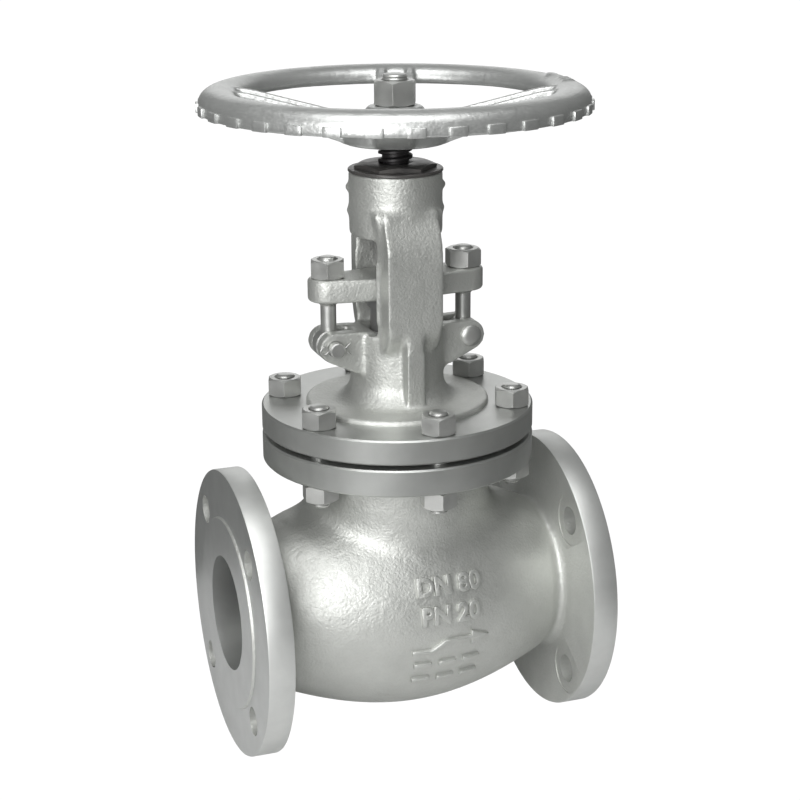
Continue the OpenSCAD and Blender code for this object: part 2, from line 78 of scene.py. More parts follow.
camera_back = Vector((
    math.sin(camera_azimuth) * math.cos(camera_elevation),
    -math.cos(camera_azimuth) * math.cos(camera_elevation),
    math.sin(camera_elevation),
))
level_right = (-camera_back).cross(Vector((0, 0, 1))).normalized()
level_up = level_right.cross(-camera_back)
camera_right = level_right * math.cos(camera_roll) + level_up * math.sin(camera_roll)
camera_up = camera_back.cross(camera_right)

camera_data = bpy.data.cameras.new("camera")
camera_data.lens = 81.43
camera_data.sensor_width = 36
camera = bpy.data.objects.new("camera", camera_data)
camera.matrix_world = Matrix.Translation(camera_target + camera_back * camera_distance) @ Matrix((
    camera_right, camera_up, camera_back)).transposed().to_4x4()
bpy.context.scene.collection.objects.link(camera)
bpy.context.scene.camera = camera

# ---------------------------------------------------------------------------
# The studio: a pale floor under the two pipe flanges, a room that is white to the eye
# and grey to the metal, a soft light in front on the inlet side, a weaker one above,
# and a faint one behind.
# ---------------------------------------------------------------------------
floor_z = cad_box[0][2]
floor_reach = Vector((0.3, 0.30, 0))
floor_start = Vector((-0.55, -0.5, 0))

bm = bmesh.new()
bmesh.ops.create_grid(bm, x_segments=1, y_segments=1, size=0.5)
bmesh.ops.scale(bm, verts=bm.verts, vec=floor_reach - floor_start)
bmesh.ops.translate(bm, verts=bm.verts, vec=(floor_reach + floor_start) / 2
                    + Vector((axis_x, 0, floor_z)))
floor_mesh = bpy.data.meshes.new("floor")
bm.to_mesh(floor_mesh)
bm.free()
floor = bpy.data.objects.new("floor", floor_mesh)
bpy.context.scene.collection.objects.link(floor)
floor_paint = bpy.data.materials.new("floor_white")
floor_paint.use_nodes = True
floor_tree = floor_paint.node_tree
floor_shader = floor_tree.nodes["Principled BSDF"]
floor_shader.inputs["Base Color"].default_value = (0.75, 0.75, 0.75, 1)
floor_shader.inputs["Roughness"].default_value = 0.9
floor_white = floor_tree.nodes.new("ShaderNodeEmission")
floor_white.inputs["Strength"].default_value = 1.05
floor_seen = floor_tree.nodes.new("ShaderNodeMixShader")
floor_path = floor_tree.nodes.new("ShaderNodeLightPath")
floor_tree.links.new(floor_path.outputs["Is Camera Ray"], floor_seen.inputs["Fac"])
floor_tree.links.new(floor_shader.outputs["BSDF"], floor_seen.inputs[1])
floor_tree.links.new(floor_white.outputs["Emission"], floor_seen.inputs[2])
floor_tree.links.new(floor_seen.outputs["Shader"],
                     floor_tree.nodes["Material Output"].inputs["Surface"])
floor_mesh.materials.append(floor_paint)

world = bpy.data.worlds.new("room")
bpy.context.scene.world = world
world.use_nodes = True
room = world.node_tree
room_light = room.nodes["Background"]
room_light.inputs["Color"].default_value = (0.98, 1, 0.98, 1)
room_light.inputs["Strength"].default_value = 0.15
backdrop = room.nodes.new("ShaderNodeBackground")
backdrop.inputs["Color"].default_value = (1, 1, 1, 1)
backdrop.inputs["Strength"].default_value = 1.05
light_path = room.nodes.new("ShaderNodeLightPath")
seen = room.nodes.new("ShaderNodeMixShader")
room.links.new(light_path.outputs["Is Camera Ray"], seen.inputs["Fac"])
room.links.new(room_light.outputs["Background"], seen.inputs[1])
room.links.new(backdrop.outputs["Background"], seen.inputs[2])
room.links.new(seen.outputs["Shader"], room.nodes["World Output"].inputs["Surface"])


def soft_light(name, place, size, power, look_at):
    """A square area light of that size in metres, aimed at a point."""
    data = bpy.data.lights.new(name, "AREA")
    data.shape = "SQUARE"
    data.size = size
    data.energy = power
    lamp = bpy.data.objects.new(name, data)
    lamp.visible_camera = False
    lamp.location = place
    lamp.rotation_euler = (Vector(look_at) - Vector(place)).to_track_quat("-Z", "Y").to_euler()
    bpy.context.scene.collection.objects.link(lamp)


middle = (axis_x, 0, 0.12)
soft_light("key_light", (axis_x - 0.75, -0.95, 0.5), 0.85, 14, middle)
soft_light("top_light", (axis_x - 0.2, -0.35, 1.4), 1.0, 11, middle)
soft_light("back_light", (axis_x + 0.55, 1.5, 0.62), 1.1, 4, middle)
bpy.context.scene.view_settings.view_transform = "Standard"

# ---------------------------------------------------------------------------
# The body is one sand casting: a bulb, a top neck with its joint flange, and the two
# pipe flanges, painted silver all over before the faces, bores and holes were machined.
# The frame draws the pipe flanges as nodes of their own; here they are one skin with it.
# ---------------------------------------------------------------------------
body_low, body_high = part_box("body")
inlet_low, inlet_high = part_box("inlet_flange")
outlet_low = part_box("outlet_flange")[0]
gasket_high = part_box("bonnet_gasket")[1]

flange_radius = inlet_high.z
flange_thick = inlet_high.x - inlet_low.x
raised_radius = 63.5 * mm
raised_high = 1.6 * mm
bore_radius = 38.1 * mm
pipe_bolt_circle = 76.2 * mm
pipe_hole_radius = 9.525 * mm
spot_face_radius = 17 * mm
spot_face_deep = 0.5 * mm

bulb_radius = -body_low.z
run_end_radius = 49 * mm
run_half = (outlet_low.x - inlet_high.x) / 2
straight_bore = 8 * mm
bulb_wall = 9 * mm
end_fillet = 7 * mm

neck_radius = 60 * mm
chamber_radius = 48 * mm
joint_height = body_high.z
joint_flange_thick = 17.5 * mm
joint_radius = 89.25 * mm
deck_top = 11 * mm
deck_thick = 13 * mm
seat_radius = 44 * mm
stud_circle = 76 * mm
stud_hole_radius = 6.9 * mm

run_middle = Vector((axis_x, 0, 0))
embed = 3 * mm
fine_turn = 160
core_voxel = 1.9 * mm


def turned(bm, outline, centre, axis, steps, closed=False):
    """Turns (radius, height) points about X or Z, as on a lathe; closed joins last to first."""
    if axis == "X":
        points = [Vector((centre.x + h, centre.y, centre.z + r)) for r, h in outline]
        line = Vector((1, 0, 0))
    else:
        points = [Vector((centre.x + r, centre.y, centre.z + h)) for r, h in outline]
        line = Vector((0, 0, 1))
    rail = [bm.verts.new(p) for p in points]
    pairs = list(zip(rail, rail[1:]))
    if closed:
        pairs.append((rail[-1], rail[0]))
    edges = [bm.edges.new(pair) for pair in pairs]
    bmesh.ops.spin(bm, geom=rail + edges, cent=centre, axis=line, angle=math.tau, steps=steps,
                   use_merge=True)
    bmesh.ops.remove_doubles(bm, verts=bm.verts, dist=0.001 * mm)
    bmesh.ops.recalc_face_normals(bm, faces=bm.faces)


def slab(bm, outline, place, depth):
    """A flat outline of (a, b) points, put into space by place(a, b, t), with t from 0 to depth."""
    corners = [bm.verts.new(place(a, b, 0)) for a, b in outline]
    face = bm.faces.new(corners)
    grown = bmesh.ops.extrude_face_region(bm, geom=[face])
    far = [v for v in grown["geom"] if isinstance(v, bmesh.types.BMVert)]
    shift = place(0, 0, depth) - place(0, 0, 0)
    bmesh.ops.translate(bm, verts=far, vec=shift)
    bmesh.ops.recalc_face_normals(bm, faces=bm.faces)


def solid(name, bm):
    """Makes an object of a bmesh and frees it."""
    mesh = bpy.data.meshes.new(name)
    bm.to_mesh(mesh)
    bm.free()
    piece = bpy.data.objects.new(name, mesh)
    bpy.context.scene.collection.objects.link(piece)
    return piece


def poured(bm, part):
    """Adds a finished bmesh to another one, and frees it."""
    mesh = bpy.data.meshes.new("part")
    part.to_mesh(mesh)
    part.free()
    bm.from_mesh(mesh)


def lathe(name, outline, steps, axis="Z", closed=False):
    """A solid turned about the stem, or about the pipe for X, as an object."""
    bm = bmesh.new()
    turned(bm, outline, run_middle, axis, steps, closed)
    return solid(name, bm)


def drilled(piece, name, *rings):
    """Drills rings of holes in a piece, each given as ring_of_holes takes them."""
    drills = bmesh.new()
    for ring in rings:
        ring_of_holes(drills, *ring)
    machined(piece, solid(name, drills), "DIFFERENCE")


def rounded(bm, edges, radius, steps):
    """Rounds some edges over."""
    bmesh.ops.bevel(bm, geom=edges, offset=radius, offset_type="OFFSET", segments=steps,
                    profile=0.5, affect="EDGES", material=-1)


def soften(bm, verts, passes):
    """Lets some points settle between their neighbours, as molten metal fills a corner."""
    for _ in range(passes):
        bmesh.ops.smooth_vert(bm, verts=verts, factor=0.5, use_axis_x=True, use_axis_y=True,
                              use_axis_z=True)


def painted(piece, *paints):
    """Gives a piece its paints, in place of any it took over from its tools."""
    piece.data.materials.clear()
    for paint in paints:
        piece.data.materials.append(paint)


def shaped(piece, modifier):
    """Applies a modifier to its piece."""
    bpy.context.view_layer.update()
    finished = bpy.data.meshes.new_from_object(
        piece.evaluated_get(bpy.context.evaluated_depsgraph_get()))
    piece.modifiers.remove(modifier)
    piece.data = finished


def machined(piece, tool, how):
    """Cuts a tool out of a piece, joins it on, or keeps what they share; the tool is used up."""
    work = piece.modifiers.new("machining", "BOOLEAN")
    work.operation = how
    work.solver = "EXACT"
    work.object = tool
    shaped(piece, work)
    bpy.data.objects.remove(tool)


def cast_skin(piece, voxel, passes):
    """Melts overlapping solids into one skin and softens every edge, as a sand mould does."""
    melt = piece.modifiers.new("mould", "REMESH")
    melt.mode = "VOXEL"
    melt.voxel_size = voxel
    shaped(piece, melt)
    bm = bmesh.new()
    bm.from_mesh(piece.data)
    soften(bm, bm.verts, passes)
    bm.to_mesh(piece.data)
    bm.free()


def finish_edges(piece, sharp_degrees):
    """Shades a piece smooth, apart from edges that turn more than that."""
    bm = bmesh.new()
    bm.from_mesh(piece.data)
    bmesh.ops.remove_doubles(bm, verts=bm.verts, dist=0.005 * mm)
    bmesh.ops.dissolve_degenerate(bm, edges=bm.edges, dist=0.005 * mm)
    for face in bm.faces:
        face.smooth = True
    for edge in bm.edges:
        edge.smooth = edge.calc_face_angle(0) < math.radians(sharp_degrees)
    bm.to_mesh(piece.data)
    bm.free()


def barrel(x, half, end, belly):
    """Radius of the bulb at a distance x from its middle."""
    return end + (belly - end) * max(0, math.cos(math.pi / 2 * x / half)) ** 0.9


def barrel_line(half, end, belly, steps):
    """Outline of a barrel from -half to half."""
    return [(barrel(half * i / steps, half, end, belly), half * i / steps)
            for i in range(-steps, steps + 1)]


# Bulb, end fillets and neck, melted together in the mould.
bm = bmesh.new()
run_reach = run_half + embed
flare = [(run_end_radius + end_fillet * (1 - math.sin(math.radians(a))),
          run_half - end_fillet * (1 - math.cos(math.radians(a)))) for a in (0, 18, 36, 54, 72)]
belly_line = [p for p in barrel_line(run_half, run_end_radius, bulb_radius, 30)
              if abs(p[1]) < run_half - end_fillet]
run_line = [(0, -run_reach), (flare[0][0], -run_reach)] + [(r, -x) for r, x in flare]
run_line += belly_line + flare[::-1] + [(flare[0][0], run_reach), (0, run_reach)]
turned(bm, run_line, run_middle, "X", 96)
under_joint = joint_height - joint_flange_thick
top_fillet = 5 * mm
neck_line = [(0, 0), (neck_radius, 0)]
neck_line += [(neck_radius + top_fillet * (1 - math.cos(math.radians(a))),
               under_joint - top_fillet * (1 - math.sin(math.radians(a)))) for a in range(0, 91, 15)]
neck_line += [(neck_radius + top_fillet, under_joint + embed), (0, under_joint + embed)]
turned(bm, neck_line, run_middle, "Z", 96)
body_casting = solid("body_casting", bm)
cast_skin(body_casting, core_voxel, 3)

# The crotch between neck and bulb is filled by a broad radius.
bm = bmesh.new()
bm.from_mesh(body_casting.data)
crotch = []
for v in bm.verts:
    from_run = math.hypot(v.co.y, v.co.z)
    from_stem = math.hypot(v.co.x - axis_x, v.co.y)
    on_bulb = from_run - barrel(min(abs(v.co.x - axis_x), run_half), run_half, run_end_radius,
                                bulb_radius)
    on_neck = from_stem - neck_radius
    if v.co.z > 10 * mm and max(abs(on_bulb), abs(on_neck)) < 17 * mm:
        crotch.append(v)
soften(bm, crotch, 70)
bm.to_mesh(body_casting.data)
bm.free()


def ring_of_holes(bm, centre, axis, circle, radius, count, first, low, high, sides=32):
    """Straight drills round a circle, from low to high along the axis."""
    for i in range(count):
        turn = math.radians(first + 360 * i / count)
        if axis == "X":
            spot = Vector((centre.x, centre.y + circle * math.cos(turn),
                           centre.z + circle * math.sin(turn)))
        else:
            spot = Vector((centre.x + circle * math.cos(turn),
                           centre.y + circle * math.sin(turn), centre.z))
        drill = bmesh.new()
        turned(drill, [(0, low), (radius, low), (radius, high), (0, high)], spot, axis, sides)
        poured(bm, drill)


# Pipe flanges: plate, raised face, four bolt holes and their spot faces behind.
edge_round = 1.1 * mm
back = run_half
front = run_half + flange_thick
plate_front = front - raised_high
discs = bmesh.new()
for side in (-1, 1):
    outline = [(0, back), (flange_radius - edge_round, back), (flange_radius - 0.3 * edge_round,
               back + 0.3 * edge_round), (flange_radius, back + edge_round),
               (flange_radius, plate_front - edge_round),
               (flange_radius - 0.3 * edge_round, plate_front - 0.3 * edge_round),
               (flange_radius - edge_round, plate_front), (raised_radius + 0.4 * mm, plate_front),
               (raised_radius, front - 0.4 * mm), (raised_radius - 0.4 * mm, front), (0, front)]
    turned(discs, [(r, side * h) for r, h in outline], run_middle, "X", fine_turn)
# Joint flange on top of the neck.
outline = [(0, under_joint), (joint_radius - edge_round, under_joint),
           (joint_radius, under_joint + edge_round), (joint_radius, joint_height - edge_round),
           (joint_radius - edge_round, joint_height), (0, joint_height)]
turned(discs, outline, run_middle, "Z", fine_turn)
body_discs = solid("body_discs", discs)
bolt_ring = (run_middle, "X", pipe_bolt_circle, pipe_hole_radius, 4, 45)
spot_ring = (run_middle, "X", pipe_bolt_circle, spot_face_radius, 4, 45)
stud_ring = (run_middle, "Z", stud_circle, stud_hole_radius, 6, 30)
drilled(body_discs, "bolt_drills", (*bolt_ring, -front - embed, -back + embed),
        (*bolt_ring, back - embed, front + embed))
drilled(body_discs, "spot_drills", (*spot_ring, -back - spot_face_deep, -back + embed, 40),
        (*spot_ring, back - embed, back + spot_face_deep, 40),
        (*stud_ring, under_joint - embed, joint_height + embed))
machined(body_casting, body_discs, "UNION")

# The flow way: two straight bores, a chamber that follows the bulb, the slanting web that
# carries the seat, and the bore for the disc down through the neck.
cavity_half = run_half - straight_bore
way = [(0, -front - embed), (bore_radius, -front - embed)]
way += barrel_line(cavity_half, bore_radius, bulb_radius - bulb_wall, 20)
way += [(bore_radius, front + embed), (0, front + embed)]
flow_way = lathe("flow_way", way, 96, axis="X")
knee = seat_radius + 6 * mm
deck_low = deck_top - deck_thick
web_reach = cavity_half - 2 * mm
bm = bmesh.new()
slab(bm, [(-web_reach, deck_top + web_reach - knee), (-knee, deck_top), (knee, deck_top),
          (web_reach, deck_top - web_reach + knee), (web_reach, deck_low - web_reach + knee),
          (knee - embed, deck_low), (-knee - embed, deck_low),
          (-web_reach, deck_low + web_reach - knee)],
     lambda a, b, t: Vector((axis_x + a, t - bulb_radius, b)), 2 * bulb_radius)
machined(flow_way, solid("seat_web", bm), "DIFFERENCE")
disc_bore = lathe("disc_bore", [
    (0, deck_low - embed), (seat_radius, deck_low - embed), (seat_radius, deck_top),
    (chamber_radius, deck_top), (chamber_radius, joint_height + embed), (0, joint_height + embed),
], 96)
machined(flow_way, disc_bore, "UNION")
machined(body_casting, flow_way, "DIFFERENCE")
finish_edges(body_casting, 38)


def node(tree, kind, **settings):
    """A shader node with its settings; sockets are given as a dictionary called values."""
    made = tree.nodes.new(kind)
    for socket, value in settings.pop("values", {}).items():
        made.inputs[socket].default_value = value
    for name, value in settings.items():
        setattr(made, name, value)
    return made


def metal(name, colour, metallic, roughness):
    """A new Principled metal, with Object coordinates ready for its patterns."""
    paint = bpy.data.materials.new(name)
    paint.use_nodes = True
    tree = paint.node_tree
    shader = tree.nodes["Principled BSDF"]
    shader.inputs["Base Color"].default_value = (*colour, 1)
    shader.inputs["Metallic"].default_value = metallic
    shader.inputs["Roughness"].default_value = roughness
    place = tree.nodes.new("ShaderNodeTexCoord").outputs["Object"]
    return paint, tree, shader, place


def noise(tree, place, scale, detail):
    """A noise pattern over object space; scale is in repeats per metre."""
    pattern = node(tree, "ShaderNodeTexNoise", values={"Scale": scale, "Detail": detail})
    tree.links.new(place, pattern.inputs["Vector"])
    return pattern.outputs["Fac"]


def spread(tree, source, low, high):
    """Carries a 0..1 pattern to the range low..high, with its middle stretched."""
    ramp = node(tree, "ShaderNodeMapRange", values={"From Min": 0.3, "From Max": 0.7,
                                                    "To Min": low, "To Max": high})
    tree.links.new(source, ramp.inputs["Value"])
    return ramp.outputs["Result"]


def shade(colour, times):
    """A colour made darker or lighter."""
    return tuple(times * c for c in colour)


def tint(tree, shader, source, dark, light):
    """Mixes two colours by a 0..1 pattern and gives the paint what comes out."""
    mix = node(tree, "ShaderNodeMix", data_type="RGBA")
    mix.inputs["A"].default_value = (*dark, 1)
    mix.inputs["B"].default_value = (*light, 1)
    tree.links.new(source, mix.inputs["Factor"])
    tree.links.new(mix.outputs["Result"], shader.inputs["Base Color"])


def relief(tree, source, height, strength, under=None):
    """A bump of that height in metres, laid over another bump if one is given."""
    bump = node(tree, "ShaderNodeBump", values={"Distance": height, "Strength": strength})
    tree.links.new(source, bump.inputs["Height"])
    if under is not None:
        tree.links.new(under, bump.inputs["Normal"])
    return bump.outputs["Normal"]


def silver_paint(name, colour, roughness, grain):
    """Aluminium paint over a sand-cast skin: grains of sand, soft dents and uneven flakes."""
    paint, tree, shader, place = metal(name, colour, 0.8, roughness)
    dents = noise(tree, place, 110, 3)
    grains = noise(tree, place, 620, 4)
    flakes = noise(tree, place, 45, 5)
    normal = relief(tree, dents, 1.1 * mm, 0.45)
    normal = relief(tree, grains, 0.35 * mm, grain, normal)
    tree.links.new(normal, shader.inputs["Normal"])
    tint(tree, shader, flakes, shade(colour, 0.86), shade(colour, 1.08))
    tree.links.new(spread(tree, grains, roughness - 0.06, roughness + 0.08),
                   shader.inputs["Roughness"])
    return paint


def turned_steel(name, colour, roughness, axis, pitch):
    """A face left by a lathe: fine rings about the pipe or the stem, under a thin coat."""
    paint, tree, shader, place = metal(name, colour, 0.85, roughness)
    centre = node(tree, "ShaderNodeMapping", values={"Location": (-axis_x, 0, 0)})
    tree.links.new(place, centre.inputs["Vector"])
    flat = (0, 1, 1) if axis == "X" else (1, 1, 0)
    keep = node(tree, "ShaderNodeVectorMath", operation="MULTIPLY")
    keep.inputs[1].default_value = flat
    tree.links.new(centre.outputs["Vector"], keep.inputs[0])
    radius = node(tree, "ShaderNodeVectorMath", operation="LENGTH")
    tree.links.new(keep.outputs["Vector"], radius.inputs[0])
    turns = node(tree, "ShaderNodeMath", operation="MULTIPLY")
    turns.inputs[1].default_value = math.tau / pitch
    tree.links.new(radius.outputs["Value"], turns.inputs[0])
    wave = node(tree, "ShaderNodeMath", operation="SINE")
    tree.links.new(turns.outputs["Value"], wave.inputs[0])
    normal = relief(tree, wave.outputs["Value"], 0.05 * mm, 0.3)
    normal = relief(tree, noise(tree, place, 400, 3), 0.15 * mm, 0.25, normal)
    tree.links.new(normal, shader.inputs["Normal"])
    smears = noise(tree, place, 60, 4)
    tint(tree, shader, smears, shade(colour, 0.84), shade(colour, 1.08))
    return paint


cast_silver = silver_paint("cast_silver", (0.60, 0.61, 0.585), 0.5, 0.9)
faced_steel = turned_steel("faced_flange", (0.56, 0.57, 0.56), 0.34, "X", 0.9 * mm)
# The pipe flanges' rims take a lighter copy of the faced steel: a painted highlight for the bright
# band of light that their turning marks reflect.
turned_rim = turned_steel("turned_rim", (0.70, 0.71, 0.695), 0.5, "X", 0.9 * mm)
turned_joint = turned_steel("turned_joint", (0.50, 0.51, 0.495), 0.36, "Z", 0.9 * mm)

painted(body_casting, cast_silver, faced_steel, turned_joint, turned_rim)
for face in body_casting.data.polygons:
    end_gap = front - abs(face.center.x - axis_x)
    from_run = math.hypot(face.center.y, face.center.z)
    in_bore = from_run < bore_radius + 0.3 * mm and end_gap < flange_thick + straight_bore
    on_face = abs(face.normal.x) > 0.9 and end_gap < 2.5 * mm
    on_rim = end_gap < flange_thick and from_run > flange_radius - 0.5 * mm
    on_joint = face.center.z > under_joint - 0.1 * mm
    # Rim faces get the lighter copy of the steel, a painted highlight.
    if on_rim and abs(face.normal.x) < 0.9:
        face.material_index = 3
    elif in_bore or on_face:
        face.material_index = 1
    elif on_joint and abs(face.center.x - axis_x) < joint_radius + embed:
        face.material_index = 2
    else:
        face.material_index = 0
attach(body_casting, "valve_body")
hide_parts("body", "inlet_flange", "outlet_flange")

# ---------------------------------------------------------------------------
# Marks cast proud of the bulb's front: the nominal size, the pressure class, an arrow
# for the flow, and two rows of plain bars. They are part of the same casting.
# ---------------------------------------------------------------------------
letter_proud = 1.7 * mm
stroke_proud = 2.5 * mm
letter_sunk = 2.5 * mm
mark_x = axis_x + 9 * mm
big_letter = 16 * mm


def laid_on_bulb(bm, x_middle, slide):
    """Wraps flat marks round the bulb: x along the run, y down its front, z outwards."""
    for v in bm.verts:
        along, down, out = v.co.x + x_middle - axis_x, slide - v.co.y, v.co.z
        belly = barrel(along, run_half, run_end_radius, bulb_radius)
        turn = down / belly
        reach = belly + out
        v.co = Vector((axis_x + along, -reach * math.cos(turn), -reach * math.sin(turn)))


def meshed(curve):
    """The mesh of a curve or of letters, which are used up."""
    shape = bpy.data.objects.new(curve.name, curve)
    bpy.context.scene.collection.objects.link(shape)
    bpy.context.view_layer.update()
    mesh = bpy.data.meshes.new_from_object(
        shape.evaluated_get(bpy.context.evaluated_depsgraph_get()))
    bpy.data.objects.remove(shape)
    return mesh


def cast_words(words, size, x_middle, slide):
    """Raised letters of the plain built-in face, as a bmesh on the bulb."""
    curve = bpy.data.curves.new("cast_letters", "FONT")
    curve.body = words
    curve.size = size
    curve.align_x = "CENTER"
    curve.align_y = "CENTER"
    curve.extrude = (letter_proud + letter_sunk) / 2
    curve.bevel_depth = 0.5 * mm
    curve.bevel_resolution = 1
    curve.offset = 0.35 * mm
    curve.resolution_u = 4
    bm = bmesh.new()
    bm.from_mesh(meshed(curve))
    bmesh.ops.translate(bm, verts=bm.verts, vec=(0, 0, (letter_proud - letter_sunk) / 2))
    laid_on_bulb(bm, x_middle, slide)
    return bm


def cast_strokes(outlines, x_middle, slide):
    """Raised strokes from flat outlines, as a bmesh on the bulb."""
    bm = bmesh.new()
    for outline in outlines:
        slab(bm, outline, lambda a, b, t: Vector((a, b, t - letter_sunk)),
             stroke_proud + letter_sunk)
    crests = [e for e in bm.edges if min(v.co.z for v in e.verts) > stroke_proud / 2]
    rounded(bm, crests, 0.7 * mm, 2)
    long_edges = [e for e in bm.edges if e.calc_length() > 6 * mm]
    bmesh.ops.subdivide_edges(bm, edges=long_edges, cuts=5)
    laid_on_bulb(bm, x_middle, slide)
    return bm


arrow = [(-27 * mm, -4 * mm), (-14 * mm, -4.6 * mm), (-5 * mm, 1.4 * mm), (14 * mm, 1.4 * mm),
         (14 * mm, 5 * mm), (27 * mm, 0), (14 * mm, -5 * mm), (14 * mm, -1.4 * mm),
         (-4 * mm, -1.4 * mm), (-13 * mm, -7.4 * mm), (-27 * mm, -6.8 * mm)]
bar_long = 12 * mm
bar_wide = 3.6 * mm
bars = [[(x * mm, y * mm), (x * mm + bar_long, y * mm), (x * mm + bar_long, y * mm + bar_wide),
         (x * mm, y * mm + bar_wide)] for y in (-9, 4) for x in (-25, -8, 9)]
marks = bmesh.new()
for made in (cast_words("DN 80", big_letter, mark_x, -29 * mm),
             cast_words("PN 20", big_letter, mark_x, -10 * mm),
             cast_strokes([arrow], mark_x, 8 * mm),
             cast_strokes(bars, mark_x, 30 * mm)):
    poured(marks, made)
bmesh.ops.recalc_face_normals(marks, faces=marks.faces)
cast_marks = solid("cast_marks", marks)
finish_edges(cast_marks, 50)
painted(cast_marks, cast_silver)
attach(cast_marks, "valve_body")

# ---------------------------------------------------------------------------
# The bonnet is the second casting: a flange with a raised step, the stuffing box neck,
# two yoke arms with a rib under each, the yoke's tubular head, and four gland lugs.
# ---------------------------------------------------------------------------
bonnet_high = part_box("bonnet")[1]
bonnet_face = gasket_high.z
bonnet_plate = bonnet_face + 16.2 * mm
spigot_radius = chamber_radius - 0.6 * mm
spigot_deep = 8 * mm
step_radius = 60 * mm
step_top = bonnet_plate + 3.2 * mm
neck_tube = 30.6 * mm
base_flare = 14 * mm
box_radius = 17.5 * mm
box_floor = 142 * mm
box_top = 184 * mm
stem_hole = 11.6 * mm
bush_bore = 18 * mm
bush_top = bonnet_face + 6 * mm
yoke_radius = 30 * mm
yoke_top = bonnet_high.z
window_half = 20 * mm
window_top = 246 * mm
nut_bore = 19.55 * mm
arm_face = 37 * mm
arm_half = 18.5 * mm
rib_half = 6 * mm
pin_height = 177 * mm
eye_x = 46.5 * mm
ear_radius = 10 * mm
ear_face = 14 * mm
ear_slot = 5.5 * mm
pin_bore = 5.3 * mm
lug_foot = pin_height - 21.5 * mm
bonnet_voxel = 1.15 * mm


def arc(cx, cy, radius, start, stop, steps):
    """Points on an arc, from one angle in degrees to another."""
    return [(cx + radius * math.cos(math.radians(start + (stop - start) * i / steps)),
             cy + radius * math.sin(math.radians(start + (stop - start) * i / steps)))
            for i in range(steps + 1)]


bm = bmesh.new()
# Step, flare and neck, hollow for the packing.
turned(bm, [(stem_hole, bonnet_plate - embed), (step_radius, bonnet_plate - embed),
            (step_radius, step_top)]
       + arc(neck_tube + base_flare, step_top + base_flare, base_flare, 270, 180, 8)
       + [(neck_tube, box_top), (box_radius, box_top), (box_radius, box_floor),
          (stem_hole, box_floor)], run_middle, "Z", 72, closed=True)
# Head of the yoke, bored for the stem nut.
turned(bm, [(nut_bore, window_top), (yoke_radius, window_top), (yoke_radius, yoke_top),
            (nut_bore, yoke_top)], run_middle, "Z", 72, closed=True)
half_chord = math.degrees(math.asin(window_half / yoke_radius))
for side in (-1, 1):
    # The two walls of the yoke tube beside the windows.
    wall = arc(0, 0, yoke_radius, half_chord, 180 - half_chord, 14)
    slab(bm, [(a, side * b) for a, b in wall],
         lambda a, b, t: Vector((axis_x + a, b, box_top - embed + t)),
         window_top - box_top + 2 * embed)
    # The arm: a plate that swells out of the tube and is drawn in again at its foot.
    swell = [(window_half, box_top - 9 * mm), (neck_tube - 2 * mm, box_top - 9 * mm),
             (arm_face - 2 * mm, box_top), (arm_face, box_top + 6 * mm),
             (arm_face, window_top - 8 * mm)]
    swell += [(yoke_radius - 1 * mm + (arm_face - yoke_radius + 1 * mm) * (1 + math.cos(
        math.pi * i / 6)) / 2, window_top - 8 * mm + 4.5 * mm * i) for i in range(1, 7)]
    swell += [(window_half, window_top + 19 * mm)]
    slab(bm, swell, lambda a, b, t: Vector((axis_x - arm_half + t, side * a, b)), 2 * arm_half)
    # The arm's shoulders run out sideways into the head.
    shoulder = [(-arm_half, window_top - 22 * mm), (arm_half, window_top - 22 * mm)]
    shoulder += [(arm_half + 5 * mm * (1 - math.cos(math.pi / 2 * i / 5)),
                  window_top - 22 * mm + 8 * mm * i) for i in range(1, 6)]
    shoulder += [(-a, b) for a, b in shoulder[:1:-1]]
    slab(bm, shoulder, lambda a, b, t: Vector((axis_x + a, side * (window_half + t), b)),
         yoke_radius - window_half - 4 * mm)
    # The rib from the arm's foot down to the step.
    slab(bm, [(neck_tube - 4 * mm, step_top - embed), (arm_face, step_top - embed),
              (arm_face, box_top + 8 * mm), (neck_tube - 4 * mm, box_top + 4 * mm)],
         lambda a, b, t: Vector((axis_x - rib_half + t, side * a, b)), 2 * rib_half)
    # Lugs: a root on the neck and two ears with round noses.
    root = neck_tube + 1.5 * mm
    slab(bm, [(20 * mm, lug_foot), (25 * mm, lug_foot), (root, lug_foot + 4.2 * mm),
              (root, pin_height + ear_radius - 1 * mm), (20 * mm, pin_height + ear_radius - 1 * mm)],
         lambda a, b, t: Vector((axis_x + side * a, t - ear_face, b)), 2 * ear_face)
    for low in (-ear_face, ear_slot):
        slab(bm, [(20 * mm, lug_foot), (25 * mm, lug_foot)]
             + arc(eye_x, pin_height, ear_radius, -65, 90, 12)
             + [(20 * mm, pin_height + ear_radius - 1 * mm)],
             lambda a, b, t: Vector((axis_x + side * a, low + t, b)), ear_face - ear_slot)
# Two small cast bosses on each side of the head.
for turn in (-12, 168):
    for height in (262 * mm, 277 * mm):
        boss = bmesh.new()
        bmesh.ops.create_icosphere(boss, subdivisions=2, radius=3.2 * mm)
        bmesh.ops.translate(boss, verts=boss.verts, vec=(
            axis_x + (yoke_radius - 0.6 * mm) * math.cos(math.radians(turn)),
            (yoke_radius - 0.6 * mm) * math.sin(math.radians(turn)), height))
        poured(bm, boss)
bonnet_casting = solid("bonnet_casting", bm)
cast_skin(bonnet_casting, bonnet_voxel, 3)

